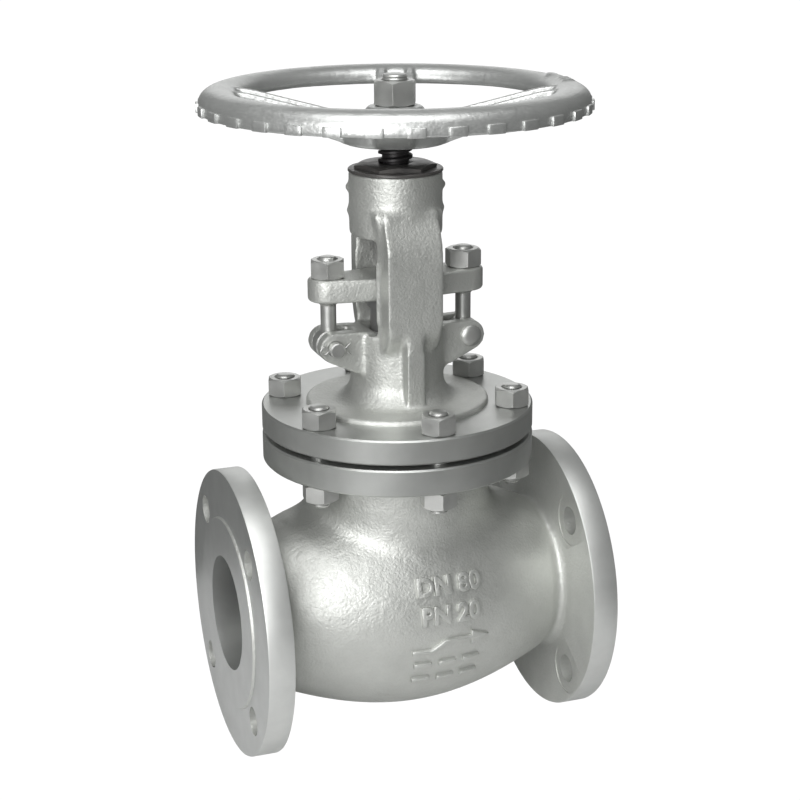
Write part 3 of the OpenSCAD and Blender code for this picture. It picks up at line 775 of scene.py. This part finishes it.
# Where the arms, the ribs and the lugs leave the tube the corners are filled.
bm = bmesh.new()
bm.from_mesh(bonnet_casting.data)
corners = []
for v in bm.verts:
    from_stem = math.hypot(v.co.x - axis_x, v.co.y)
    beside_arm = abs(from_stem - yoke_radius) < 5 * mm and v.co.z > window_top - 14 * mm \
        and v.co.z < window_top + 26 * mm
    at_foot = abs(v.co.z - box_top) < 9 * mm and from_stem > neck_tube - 4 * mm \
        and abs(v.co.x - axis_x) < arm_half + 3 * mm
    on_neck = from_stem < neck_tube + 4 * mm and v.co.z > step_top + base_flare \
        and v.co.z < box_top - 4 * mm
    if beside_arm or at_foot or on_neck:
        corners.append(v)
soften(bm, corners, 14)
bm.to_mesh(bonnet_casting.data)
bm.free()

# The turned flange, its spigot and its stud holes.
bonnet_disc = lathe("bonnet_disc", [
    (bush_bore, bonnet_face - spigot_deep), (spigot_radius, bonnet_face - spigot_deep),
    (spigot_radius, bonnet_face), (joint_radius - edge_round, bonnet_face),
    (joint_radius, bonnet_face + edge_round), (joint_radius, bonnet_plate - edge_round),
    (joint_radius - edge_round, bonnet_plate), (stem_hole, bonnet_plate), (stem_hole, bush_top),
    (bush_bore, bush_top),
], fine_turn, closed=True)
drilled(bonnet_disc, "stud_drills", (*stud_ring, bonnet_face - embed, bonnet_plate + embed))
machined(bonnet_casting, bonnet_disc, "UNION")
drills = bmesh.new()
for side in (-1, 1):
    drill = bmesh.new()
    bmesh.ops.create_cone(drill, cap_ends=True, segments=32, radius1=pin_bore,
                          radius2=pin_bore, depth=4 * ear_face)
    bmesh.ops.rotate(drill, verts=drill.verts, matrix=Matrix.Rotation(math.pi / 2, 3, "X"))
    bmesh.ops.translate(drill, verts=drill.verts, vec=(axis_x + side * eye_x, 0, pin_height))
    poured(drills, drill)
machined(bonnet_casting, solid("pin_drills", drills), "DIFFERENCE")
finish_edges(bonnet_casting, 40)
painted(bonnet_casting, cast_silver, turned_joint)
for face in bonnet_casting.data.polygons:
    face.material_index = 1 if face.center.z < bonnet_plate + 0.2 * mm else 0
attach(bonnet_casting, "valve_body")
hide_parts("bonnet")

# ---------------------------------------------------------------------------
# Six studs and twelve heavy nuts hold the bonnet down on its gasket. The nuts are hexagons
# with their corners turned off at both ends; the studs' rounded threaded ends stand proud.
# ---------------------------------------------------------------------------
nut_flats = 21 * mm
nut_high = 12 * mm
stud_radius = 6 * mm
stud_proud = 2 * mm
stud_below = 4.6 * mm
thread_pitch = 1.75 * mm
thread_deep = 0.55 * mm
upper_nut_turn = 11
lower_nut_turn = 23


def bolt_steel(name, colour, roughness):
    """Zinc-plated steel, slightly clouded, with fine marks of handling."""
    paint, tree, shader, place = metal(name, colour, 0.85, roughness)
    clouds = noise(tree, place, 90, 4)
    tint(tree, shader, clouds, shade(colour, 0.8), shade(colour, 1.12))
    nicks = noise(tree, place, 700, 3)
    tree.links.new(relief(tree, nicks, 0.12 * mm, 0.3), shader.inputs["Normal"])
    tree.links.new(spread(tree, clouds, roughness - 0.05, roughness + 0.07),
                   shader.inputs["Roughness"])
    return paint


def hexagon(bm, spot, flats, low, high, turn):
    """A six-sided bar; turn is the angle of its first corner in degrees."""
    corner = flats / 2 / math.cos(math.pi / 6)
    slab(bm, [(corner * math.cos(math.radians(turn + 60 * i)),
               corner * math.sin(math.radians(turn + 60 * i))) for i in range(6)],
         lambda a, b, t: Vector((spot.x + a, spot.y + b, low + t)), high - low)


def nuts(name, spots, flats, low, high, bore, turn):
    """Hexagon nuts with their corners turned off, as one piece."""
    bars = bmesh.new()
    rounds = bmesh.new()
    corner = flats / 2 / math.cos(math.pi / 6)
    face = 0.94 * flats / 2
    drop = (corner - face) * math.tan(math.radians(30))
    for spot in spots:
        hexagon(bars, spot, flats, low, high, turn)
        turned(rounds, [(bore, low), (face, low), (corner, low + drop), (corner, high - drop),
                        (face, high), (bore + 0.9 * mm, high), (bore, high - 0.9 * mm)],
               Vector((spot.x, spot.y, 0)), "Z", 48, closed=True)
    piece = solid(name, bars)
    machined(piece, solid(name + "_turning", rounds), "INTERSECT")
    finish_edges(piece, 22)
    return piece


def thread_line(radius, low, high, pitch, deep):
    """Outline of a thread's flanks from low to high, as rings."""
    count = int((high - low) / pitch)
    points = []
    for i in range(count):
        points += [(radius, low + pitch * i), (radius - deep, low + pitch * (i + 0.5))]
    return points + [(radius, low + pitch * count)]


def dome_line(radius, top):
    """Rounded end of a stud, down to its thread."""
    return [(radius - 0.3 * mm, top - 1.3 * mm), (radius - 0.9 * mm, top - 0.55 * mm),
            (radius - 2.2 * mm, top - 0.15 * mm), (0, top)]


stud_spots = [Vector((axis_x + stud_circle * math.cos(math.radians(30 + 60 * i)),
                      stud_circle * math.sin(math.radians(30 + 60 * i)), 0)) for i in range(6)]
nut_steel = bolt_steel("nut_steel", (0.58, 0.585, 0.57), 0.38)
nut_bore = stud_radius + 0.05 * mm
upper_nuts = nuts("upper_bonnet_nuts", stud_spots, nut_flats, bonnet_plate,
                  bonnet_plate + nut_high, nut_bore, upper_nut_turn)
lower_nuts = nuts("lower_bonnet_nuts", stud_spots, nut_flats, under_joint - nut_high,
                  under_joint, nut_bore, lower_nut_turn)
bm = bmesh.new()
stud_low = under_joint - nut_high - stud_below
stud_high = bonnet_plate + nut_high + stud_proud
thread_long = nut_high + stud_proud
for spot in stud_spots:
    top_end = thread_line(stud_radius, stud_high - thread_long, stud_high - 1.4 * mm,
                          thread_pitch, thread_deep) + dome_line(stud_radius, stud_high)
    low_end = [(r, stud_high + stud_low - h) for r, h in reversed(top_end)]
    turned(bm, low_end + top_end, spot, "Z", 32)
bonnet_bolts = solid("bonnet_studs_threaded", bm)
finish_edges(bonnet_bolts, 35)
for piece, stands_for in ((upper_nuts, "bonnet_nuts_upper"), (lower_nuts, "bonnet_nuts_lower"),
                          (bonnet_bolts, "bonnet_studs")):
    painted(piece, nut_steel)
    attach(piece, "valve_body")
    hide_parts(stands_for)

# ---------------------------------------------------------------------------
# The gland: an oval cast flange pressed down on the follower's collar by two swing bolts,
# whose eyes turn on pins in the lugs. A bent split pin locks each pin at its far end.
# ---------------------------------------------------------------------------
gland_low = 206 * mm
gland_thick = 15 * mm
gland_end = 13 * mm
gland_middle = 19.2 * mm
gland_edge = 2.4 * mm
bolt_clearance = 6.9 * mm
gland_bore = 12.5 * mm
split_bore = 1.3 * mm
eye_outer = 10 * mm
eye_half = 5.2 * mm
shank_radius = 5.1 * mm
pin_radius = 5 * mm
pin_head = 7 * mm
pin_head_high = 3 * mm
pin_reach = ear_face + 6 * mm
wire = 0.62 * mm
cross_y = ear_face + 3 * mm

bm = bmesh.new()
tilt = math.degrees(math.acos((gland_middle - gland_end) / eye_x))
plan = (arc(eye_x, 0, gland_end, -tilt, tilt, 18)
        + arc(0, 0, gland_middle, tilt, 180 - tilt, 4)
        + arc(-eye_x, 0, gland_end, 180 - tilt, 180 + tilt, 18)
        + arc(0, 0, gland_middle, 180 + tilt, 360 - tilt, 4))
slab(bm, plan, lambda a, b, t: Vector((axis_x + a, b, gland_low + t)), gland_thick)
rims = [e for e in bm.edges if abs(e.verts[0].co.z - e.verts[1].co.z) < 0.1 * mm]
rounded(bm, rims, gland_edge, 4)
gland_plate = solid("gland_flange_cast", bm)
gland_top = gland_low + gland_thick
drilled(gland_plate, "gland_drills",
        (run_middle, "Z", eye_x, bolt_clearance, 2, 0, gland_low - embed, gland_top + embed),
        (run_middle, "Z", 0, gland_bore, 1, 0, gland_low - embed, gland_top + embed, 64))
finish_edges(gland_plate, 40)
painted(gland_plate, cast_silver)
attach(gland_plate, "gland")
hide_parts("gland_flange")

bolt_top = gland_top + nut_high + stud_proud
for side, name, nut_turn in ((-1, "left", 12), (1, "right", 24)):
    centre = Vector((axis_x + side * eye_x, 0, pin_height))
    on_axis = Vector((centre.x, 0, 0))

    # Swing bolt: shank and thread on the lathe, joined to the eye.
    bm = bmesh.new()
    shank = [(0, pin_height + 7 * mm), (shank_radius, pin_height + 7 * mm),
             (shank_radius, gland_low - 3 * mm)]
    shank += thread_line(stud_radius, gland_low - 2 * mm, bolt_top - 1.4 * mm, thread_pitch,
                         thread_deep)
    turned(bm, shank + dome_line(stud_radius, bolt_top), on_axis, "Z", 32)
    swing_bolt = solid("swing_bolt_" + name, bm)
    bm = bmesh.new()
    turned(bm, [(pin_bore, -eye_half), (eye_outer - 0.9 * mm, -eye_half),
                (eye_outer, -eye_half + 0.9 * mm), (eye_outer, eye_half - 0.9 * mm),
                (eye_outer - 0.9 * mm, eye_half), (pin_bore, eye_half)], Vector((0, 0, 0)), "Z",
           48, closed=True)
    bmesh.ops.rotate(bm, verts=bm.verts, matrix=Matrix.Rotation(math.pi / 2, 3, "X"))
    bmesh.ops.translate(bm, verts=bm.verts, vec=centre)
    machined(swing_bolt, solid("eye", bm), "UNION")
    finish_edges(swing_bolt, 35)
    painted(swing_bolt, nut_steel)
    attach(swing_bolt, "valve_body")
    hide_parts("eyebolt_" + name)

    # Pin with a domed head; the right one's head faces the front, the left one's the back.
    bm = bmesh.new()
    turned(bm, [(0, -pin_reach), (pin_radius - 0.8 * mm, -pin_reach),
                (pin_radius, -pin_reach + 0.8 * mm), (pin_radius, ear_face),
                (pin_head, ear_face), (pin_head, ear_face + 1.2 * mm),
                (0.86 * pin_head, ear_face + 2.2 * mm), (0.5 * pin_head, ear_face + 2.8 * mm),
                (0, ear_face + pin_head_high)], Vector((0, 0, 0)), "Z", 48)
    bmesh.ops.rotate(bm, verts=bm.verts, matrix=Matrix.Rotation(side * math.pi / 2, 3, "X"))
    bmesh.ops.translate(bm, verts=bm.verts, vec=centre)
    pin = solid("pin_" + name, bm)
    bm = bmesh.new()
    turned(bm, [(0, -2 * pin_radius), (split_bore, -2 * pin_radius), (split_bore, 2 * pin_radius),
                (0, 2 * pin_radius)], Vector((0, 0, 0)), "X", 20)
    bmesh.ops.translate(bm, verts=bm.verts, vec=centre + Vector((0, side * cross_y, 0)))
    machined(pin, solid("cross_drill", bm), "DIFFERENCE")
    finish_edges(pin, 35)
    painted(pin, nut_steel)
    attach(pin, "valve_body")
    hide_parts("eyebolt_pin_" + name)

    # Gland nut, which turns on its bolt.
    nut = nuts("gland_nut_" + name + "_hexagon", [on_axis], nut_flats, gland_top,
               gland_top + nut_high, nut_bore, nut_turn)
    painted(nut, nut_steel)
    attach(nut, name + "_gland_nut")
    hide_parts("gland_nut_" + name)


def bent_wire(route, radius):
    """A round wire along a route of points, as a mesh."""
    curve = bpy.data.curves.new("wire", "CURVE")
    curve.dimensions = "3D"
    curve.bevel_depth = radius
    curve.bevel_resolution = 3
    curve.use_fill_caps = True
    line = curve.splines.new("POLY")
    line.points.add(len(route) - 1)
    for point, place in zip(line.points, route):
        point.co = (*place, 1)
    return meshed(curve)


bm = bmesh.new()
for side in (-1, 1):
    loop = arc(-pin_radius - 3.4 * mm, 0, 2.4 * mm, 20, 340, 20)
    leg = [(pin_radius + 4.2 * mm, 3.6 * mm), (pin_radius + 2.6 * mm, 2.6 * mm),
           (pin_radius + 1.2 * mm, 1.0 * mm), (pin_radius, wire), (-pin_radius, wire)]
    bent = leg + loop + [(x, -z) for x, z in reversed(leg)]
    bm.from_mesh(bent_wire([(axis_x + side * eye_x + x, side * cross_y, pin_height + z)
                            for x, z in bent], wire))
bmesh.ops.remove_doubles(bm, verts=bm.verts, dist=0.001 * mm)
bmesh.ops.recalc_face_normals(bm, faces=bm.faces)
cotters = solid("split_pins_bent", bm)
finish_edges(cotters, 60)
painted(cotters, nut_steel)
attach(cotters, "valve_body")
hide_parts("split_pins")

# ---------------------------------------------------------------------------
# The black yoke nut, held in the yoke's head, and the stem that it drives up and down:
# a trapezoidal thread, a square for the handwheel and a threaded stub for its nut.
# ---------------------------------------------------------------------------
stem_radius = 11 * mm
lead = 5 * mm
thread_low = 228 * mm
hub_low = 302.5 * mm
hub_high = 328 * mm
square_half = 7.5 * mm
stub_radius = 8 * mm
stem_end = stem_high.z
yoke_collar = 30.5 * mm
yoke_collar_high = 2 * mm
yoke_nut_flats = 46 * mm
yoke_nut_high = 3.4 * mm
yoke_sleeve = 19.5 * mm
yoke_sleeve_long = 36 * mm
yoke_nut_turn = -12.6
running_bore = stem_radius + 0.08 * mm


def blackened(name, colour, roughness):
    """Oiled black oxide over turned steel: nearly black, brown in the worn places."""
    paint, tree, shader, place = metal(name, colour, 0.55, roughness)
    worn = noise(tree, place, 130, 5)
    brown = tuple(c * k for c, k in zip(colour, (1.9, 1.75, 1.6)))
    tint(tree, shader, worn, colour, brown)
    tree.links.new(relief(tree, noise(tree, place, 520, 3), 0.2 * mm, 0.35),
                   shader.inputs["Normal"])
    tree.links.new(spread(tree, worn, roughness - 0.08, roughness + 0.1),
                   shader.inputs["Roughness"])
    return paint


black_nut = blackened("black_yoke_nut", (0.08, 0.081, 0.083), 0.36)
black_stem = blackened("black_stem", (0.022, 0.022, 0.024), 0.42)

collar_top = yoke_top + yoke_collar_high
yoke_nut = lathe("yoke_nut", [
    (0, yoke_top - yoke_sleeve_long), (yoke_sleeve - 1 * mm, yoke_top - yoke_sleeve_long),
    (yoke_sleeve, yoke_top - yoke_sleeve_long + 1 * mm), (yoke_sleeve, yoke_top),
    (yoke_collar - 0.5 * mm, yoke_top), (yoke_collar, yoke_top + 0.5 * mm),
    (yoke_collar, collar_top - 0.6 * mm), (yoke_collar - 0.6 * mm, collar_top), (0, collar_top),
], 96)
bm = bmesh.new()
hexagon(bm, run_middle, yoke_nut_flats, collar_top - 1 * mm, collar_top + yoke_nut_high,
        yoke_nut_turn)
yoke_hexagon = solid("yoke_hexagon", bm)
yoke_corner = yoke_nut_flats / 2 / math.cos(math.pi / 6)
yoke_face = 0.95 * yoke_nut_flats / 2
bm = bmesh.new()
turned(bm, [(0, collar_top - 2 * mm), (yoke_corner + 1 * mm, collar_top - 2 * mm),
            (yoke_corner + 1 * mm, collar_top + yoke_nut_high - 2.2 * mm),
            (yoke_face, collar_top + yoke_nut_high), (0, collar_top + yoke_nut_high)],
       run_middle, "Z", 64)
machined(yoke_hexagon, solid("yoke_turning", bm), "INTERSECT")
machined(yoke_nut, yoke_hexagon, "UNION")
yoke_bore = lathe("yoke_bore", [
    (0, yoke_top - 2 * yoke_sleeve_long), (running_bore, yoke_top - 2 * yoke_sleeve_long),
    (running_bore, stem_end), (0, stem_end),
], 64)
machined(yoke_nut, yoke_bore, "DIFFERENCE")
finish_edges(yoke_nut, 22)
painted(yoke_nut, black_nut)
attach(yoke_nut, "valve_body")
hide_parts("stem_nut")

# Thread of the stem: one pitch of its outline carried up a helix, then cut off square.
bm = bmesh.new()
flank = [(stem_radius - 2.4 * mm, 0), (stem_radius - 2.4 * mm, 1.7 * mm),
         (stem_radius - 0.2 * mm, 2.3 * mm), (stem_radius, 2.5 * mm), (stem_radius, 3.9 * mm),
         (stem_radius - 0.2 * mm, 4.1 * mm), (stem_radius - 2.4 * mm, lead)]
rail = [bm.verts.new((axis_x + r, 0, thread_low - 2 * lead + h)) for r, h in flank]
steps = 48
turns = int((hub_low - thread_low) / lead) + 4
bmesh.ops.spin(bm, geom=rail + [bm.edges.new(pair) for pair in zip(rail, rail[1:])],
               cent=run_middle, axis=(0, 0, 1), dvec=(0, 0, lead / steps),
               angle=math.tau * turns, steps=steps * turns)
bmesh.ops.remove_doubles(bm, verts=bm.verts, dist=0.01 * mm)
for height, way in ((thread_low - 1 * mm, -1), (hub_low + 1 * mm, 1)):
    bmesh.ops.bisect_plane(bm, geom=bm.verts[:] + bm.edges[:] + bm.faces[:],
                           plane_co=(0, 0, height), plane_no=(0, 0, way), clear_outer=True)
    rim = [e for e in bm.edges if e.is_boundary
           and all(abs(v.co.z - height) < 0.01 * mm for v in e.verts)]
    bmesh.ops.edgeloop_fill(bm, edges=rim)
bmesh.ops.recalc_face_normals(bm, faces=bm.faces)
threaded_stem = solid("threaded_stem", bm)

# Plain stem below the thread, with its head in the disc and the shoulder of the backseat.
bush_low = bonnet_face - 10 * mm
shoulder_top = bush_low - 19.3 * mm
plain_stem = lathe("plain_stem", [
    (0, stem_low.z), (14 * mm, stem_low.z), (14 * mm, stem_low.z + 7 * mm),
    (stem_radius, stem_low.z + 7 * mm), (stem_radius, shoulder_top - 13.5 * mm),
    (stem_radius + 3.5 * mm, shoulder_top - 10 * mm),
    (stem_radius + 3.5 * mm, shoulder_top - 3.5 * mm), (stem_radius, shoulder_top),
    (stem_radius, thread_low - 1 * mm), (stem_radius - 2.4 * mm, thread_low + 2 * mm),
    (0, thread_low + 2 * mm),
], 64)
machined(threaded_stem, plain_stem, "UNION")
bm = bmesh.new()
slab(bm, [(-square_half, -square_half), (square_half, -square_half), (square_half, square_half),
          (-square_half, square_half)], lambda a, b, t: Vector((axis_x + a, b, hub_low + t)),
     hub_high - hub_low - 1 * mm)
machined(threaded_stem, solid("stem_square", bm), "UNION")
bm = bmesh.new()
turned(bm, [(0, hub_high - 4 * mm)]
       + [(0.88 * stub_radius, hub_high - 4 * mm), (0.88 * stub_radius, hub_high)]
       + thread_line(stub_radius, hub_high + 0.5 * mm, stem_end - 1.4 * mm, 2 * mm, 0.6 * mm)
       + dome_line(stub_radius, stem_end), run_middle, "Z", 48)
machined(threaded_stem, solid("stem_stub", bm), "UNION")
finish_edges(threaded_stem, 30)
painted(threaded_stem, black_stem, nut_steel)
for face in threaded_stem.data.polygons:
    face.material_index = 1 if face.center.z > hub_high - 0.5 * mm else 0
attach(threaded_stem, "stem_and_wheel")
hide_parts("stem")

# ---------------------------------------------------------------------------
# The handwheel is a light casting: a hollow rim with finger pads on its skirt and four
# dished, channelled spokes. It sits on the stem's square under a tall hexagon nut.
# ---------------------------------------------------------------------------
wheel_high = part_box("handwheel")[1]
wheel_radius = wheel_high.x - axis_x
skirt_radius = wheel_radius - 1.6 * mm
rim_wide = 25 * mm
rim_wall = 4.6 * mm
rim_low = 326 * mm
rim_top = 341 * mm
rim_skirt = 6 * mm
pad_count = 32
pad_high = 6 * mm
pad_share = 0.46
pad_turn = -109.7
spoke_turn = -20
spoke_half = 12 * mm
channel_half = 7 * mm
web_radius = 34 * mm
wheel_voxel = 1.2 * mm
wheel_nut_flats = 25 * mm
wheel_nut_high = 16 * mm
wheel_nut_turn = 5

rim_middle = skirt_radius - rim_wide / 2
crown = rim_top - rim_low - rim_skirt


def crown_height(radius):
    """Height of the rim's crown at a distance from the stem."""
    across = min(1, abs(radius - rim_middle) / (rim_wide / 2))
    return rim_low + rim_skirt + crown * math.sqrt(1 - across ** 2)


bm = bmesh.new()
over = [(rim_middle + rim_wide / 2 * math.cos(math.radians(a)),
         rim_low + rim_skirt + crown * math.sin(math.radians(a))) for a in range(0, 181, 12)]
under = [(rim_middle + (rim_wide / 2 - rim_wall) * math.cos(math.radians(a)),
          rim_low + rim_skirt + (crown - rim_wall) * math.sin(math.radians(a)))
         for a in range(180, -1, -12)]
turned(bm, [(skirt_radius, rim_low)] + over + [(rim_middle - rim_wide / 2, rim_low + 3 * mm),
       (rim_middle - rim_wide / 2 + rim_wall, rim_low + 3 * mm)] + under
       + [(skirt_radius - rim_wall, rim_low)], run_middle, "Z", 160, closed=True)
spoke_end = skirt_radius - rim_wide + 3 * mm
for i in range(4):
    turn = Matrix.Rotation(math.radians(spoke_turn + 90 * i), 3, "Z")

    def across_spoke(offset):
        """Places a side view of the spoke at an offset across it."""
        return lambda a, b, t: Vector((axis_x, 0, b)) + turn @ Vector((a, offset + t, 0))

    floor_line = [(20 * mm, hub_low + 3 * mm), (web_radius - 2 * mm, hub_low + 3 * mm),
                  (spoke_end + 2 * mm, rim_low + 4 * mm), (spoke_end + 2 * mm, rim_low + 9 * mm),
                  (web_radius + 4 * mm, hub_high - 10 * mm), (20 * mm, hub_high - 6 * mm)]
    rail_line = [(20 * mm, hub_low + 3 * mm), (web_radius - 2 * mm, hub_low + 3 * mm),
                 (spoke_end, rim_low + 4 * mm), (spoke_end, rim_top - 2 * mm),
                 (spoke_end - 12 * mm, rim_top - 4 * mm), (web_radius, hub_high - 5 * mm),
                 (20 * mm, hub_high - 4 * mm)]
    slab(bm, floor_line, across_spoke(-spoke_half), 2 * spoke_half)
    slab(bm, rail_line, across_spoke(-spoke_half), spoke_half - channel_half)
    slab(bm, rail_line, across_spoke(channel_half), spoke_half - channel_half)
turned(bm, [(0, hub_low), (13 * mm, hub_low), (web_radius, hub_low + 2.5 * mm),
            (web_radius, hub_low + 12 * mm), (19 * mm, hub_high - 3 * mm), (17 * mm, hub_high),
            (0, hub_high)], run_middle, "Z", 72)

# A plain arrow and a few bars cast on the crown show which way the wheel opens.
strokes = [[(-9, -1.6), (5, -1.6), (5, -4.5), (13, 0), (5, 4.5), (5, 1.6), (-9, 1.6)]]
strokes += [[(x, -3.5), (x + 3, -3.5), (x + 3, 3.5), (x, 3.5)] for x in (-26, -20, -14)]
for outline in strokes:
    turns_along = [(a * mm / rim_middle, rim_middle + b * mm) for a, b in outline]
    slab(bm, turns_along, lambda a, b, t: Vector((
        axis_x + b * math.cos(a), b * math.sin(a), crown_height(b) - 2.5 * mm + t)), 4 * mm)
handwheel_cast = solid("handwheel_cast", bm)
cast_skin(handwheel_cast, wheel_voxel, 5)

# Finger pads, a little proud of the skirt, with their corners rounded.
bm = bmesh.new()
pad_arc = 360 / pad_count * pad_share
for i in range(pad_count):
    start = pad_turn + (i + 0.5) * 360 / pad_count - pad_arc / 2
    outline = (arc(0, 0, wheel_radius, start, start + pad_arc, 4)
               + arc(0, 0, skirt_radius - 2 * mm, start + pad_arc, start, 4))
    slab(bm, outline, lambda a, b, t: Vector((axis_x + a, b, rim_low + 0.2 * mm + t)), pad_high)
ridges = [e for e in bm.edges if e.calc_face_angle(0) > math.radians(60)]
rounded(bm, ridges, 0.6 * mm, 2)
machined(handwheel_cast, solid("finger_pads", bm), "UNION")
bm = bmesh.new()
bmesh.ops.create_cube(bm, size=2 * square_half + 0.1 * mm)
bmesh.ops.scale(bm, verts=bm.verts, vec=(1, 1, 3))
bmesh.ops.translate(bm, verts=bm.verts, vec=(axis_x, 0, (hub_low + hub_high) / 2))
machined(handwheel_cast, solid("square_broach", bm), "DIFFERENCE")
hub_facing = lathe("hub_facing", [
    (0, hub_high), (25 * mm, hub_high), (25 * mm, hub_high + 4 * mm), (0, hub_high + 4 * mm),
], 48)
machined(handwheel_cast, hub_facing, "DIFFERENCE")
finish_edges(handwheel_cast, 45)
wheel_paint = silver_paint("wheel_silver", (0.60, 0.61, 0.60), 0.40, 0.34)
painted(handwheel_cast, wheel_paint)
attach(handwheel_cast, "stem_and_wheel")
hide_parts("handwheel")

wheel_nut = nuts("wheel_nut_hexagon", [run_middle], wheel_nut_flats, hub_high,
                 hub_high + wheel_nut_high, stub_radius + 0.05 * mm, wheel_nut_turn)
painted(wheel_nut, nut_steel)
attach(wheel_nut, "stem_and_wheel")
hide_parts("wheel_nut")

# ---------------------------------------------------------------------------
# Inside: five square rings of braided graphite packing, which the gland squashes, and the
# machined trim, whose shapes are right as they stand and only take their finish here.
# ---------------------------------------------------------------------------
packing_low = 145 * mm
packing_side = 6.4 * mm
packing_count = 5


def graphite(name, colour, roughness, strands):
    """Braided or pressed graphite: dark, dull, with a fine plait."""
    paint, tree, shader, place = metal(name, colour, 0.25, roughness)
    weave = node(tree, "ShaderNodeTexVoronoi", values={"Scale": strands})
    tree.links.new(place, weave.inputs["Vector"])
    tree.links.new(relief(tree, weave.outputs["Distance"], 0.5 * mm, 0.5),
                   shader.inputs["Normal"])
    tint(tree, shader, noise(tree, place, 300, 3), colour, shade(colour, 1.6))
    return paint


braid = graphite("braided_graphite", (0.06, 0.06, 0.063), 0.6, 900)
bm = bmesh.new()
for i in range(packing_count):
    low = packing_low + i * packing_side
    high = low + packing_side - 0.1 * mm
    inner, outer, corner = stem_radius + 0.05 * mm, box_radius - 0.05 * mm, 0.8 * mm
    turned(bm, [(inner + corner, low), (outer - corner, low), (outer, low + corner),
                (outer, high - corner), (outer - corner, high), (inner + corner, high),
                (inner, high - corner), (inner, low + corner)], run_middle, "Z", 72,
           closed=True)
packing = solid("braided_packing", bm)
finish_edges(packing, 60)
painted(packing, braid)
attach(packing, "valve_body")
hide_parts("packing_rings")
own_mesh(packing)

trim_steel = turned_steel("trim_steel", (0.60, 0.60, 0.59), 0.26, "Z", 0.7 * mm)
follower_steel = turned_steel("follower_steel", (0.42, 0.42, 0.42), 0.34, "Z", 0.8 * mm)
spiral_gasket = graphite("spiral_gasket", (0.07, 0.07, 0.07), 0.5, 700)
for name, finish in (("seat_ring", trim_steel), ("disc", trim_steel), ("disc_nut", trim_steel),
                     ("backseat_bush", trim_steel), ("packing_washer", trim_steel),
                     ("gland_follower", follower_steel), ("bonnet_gasket", spiral_gasket)):
    piece = bpy.data.objects[name]
    painted(piece, finish)
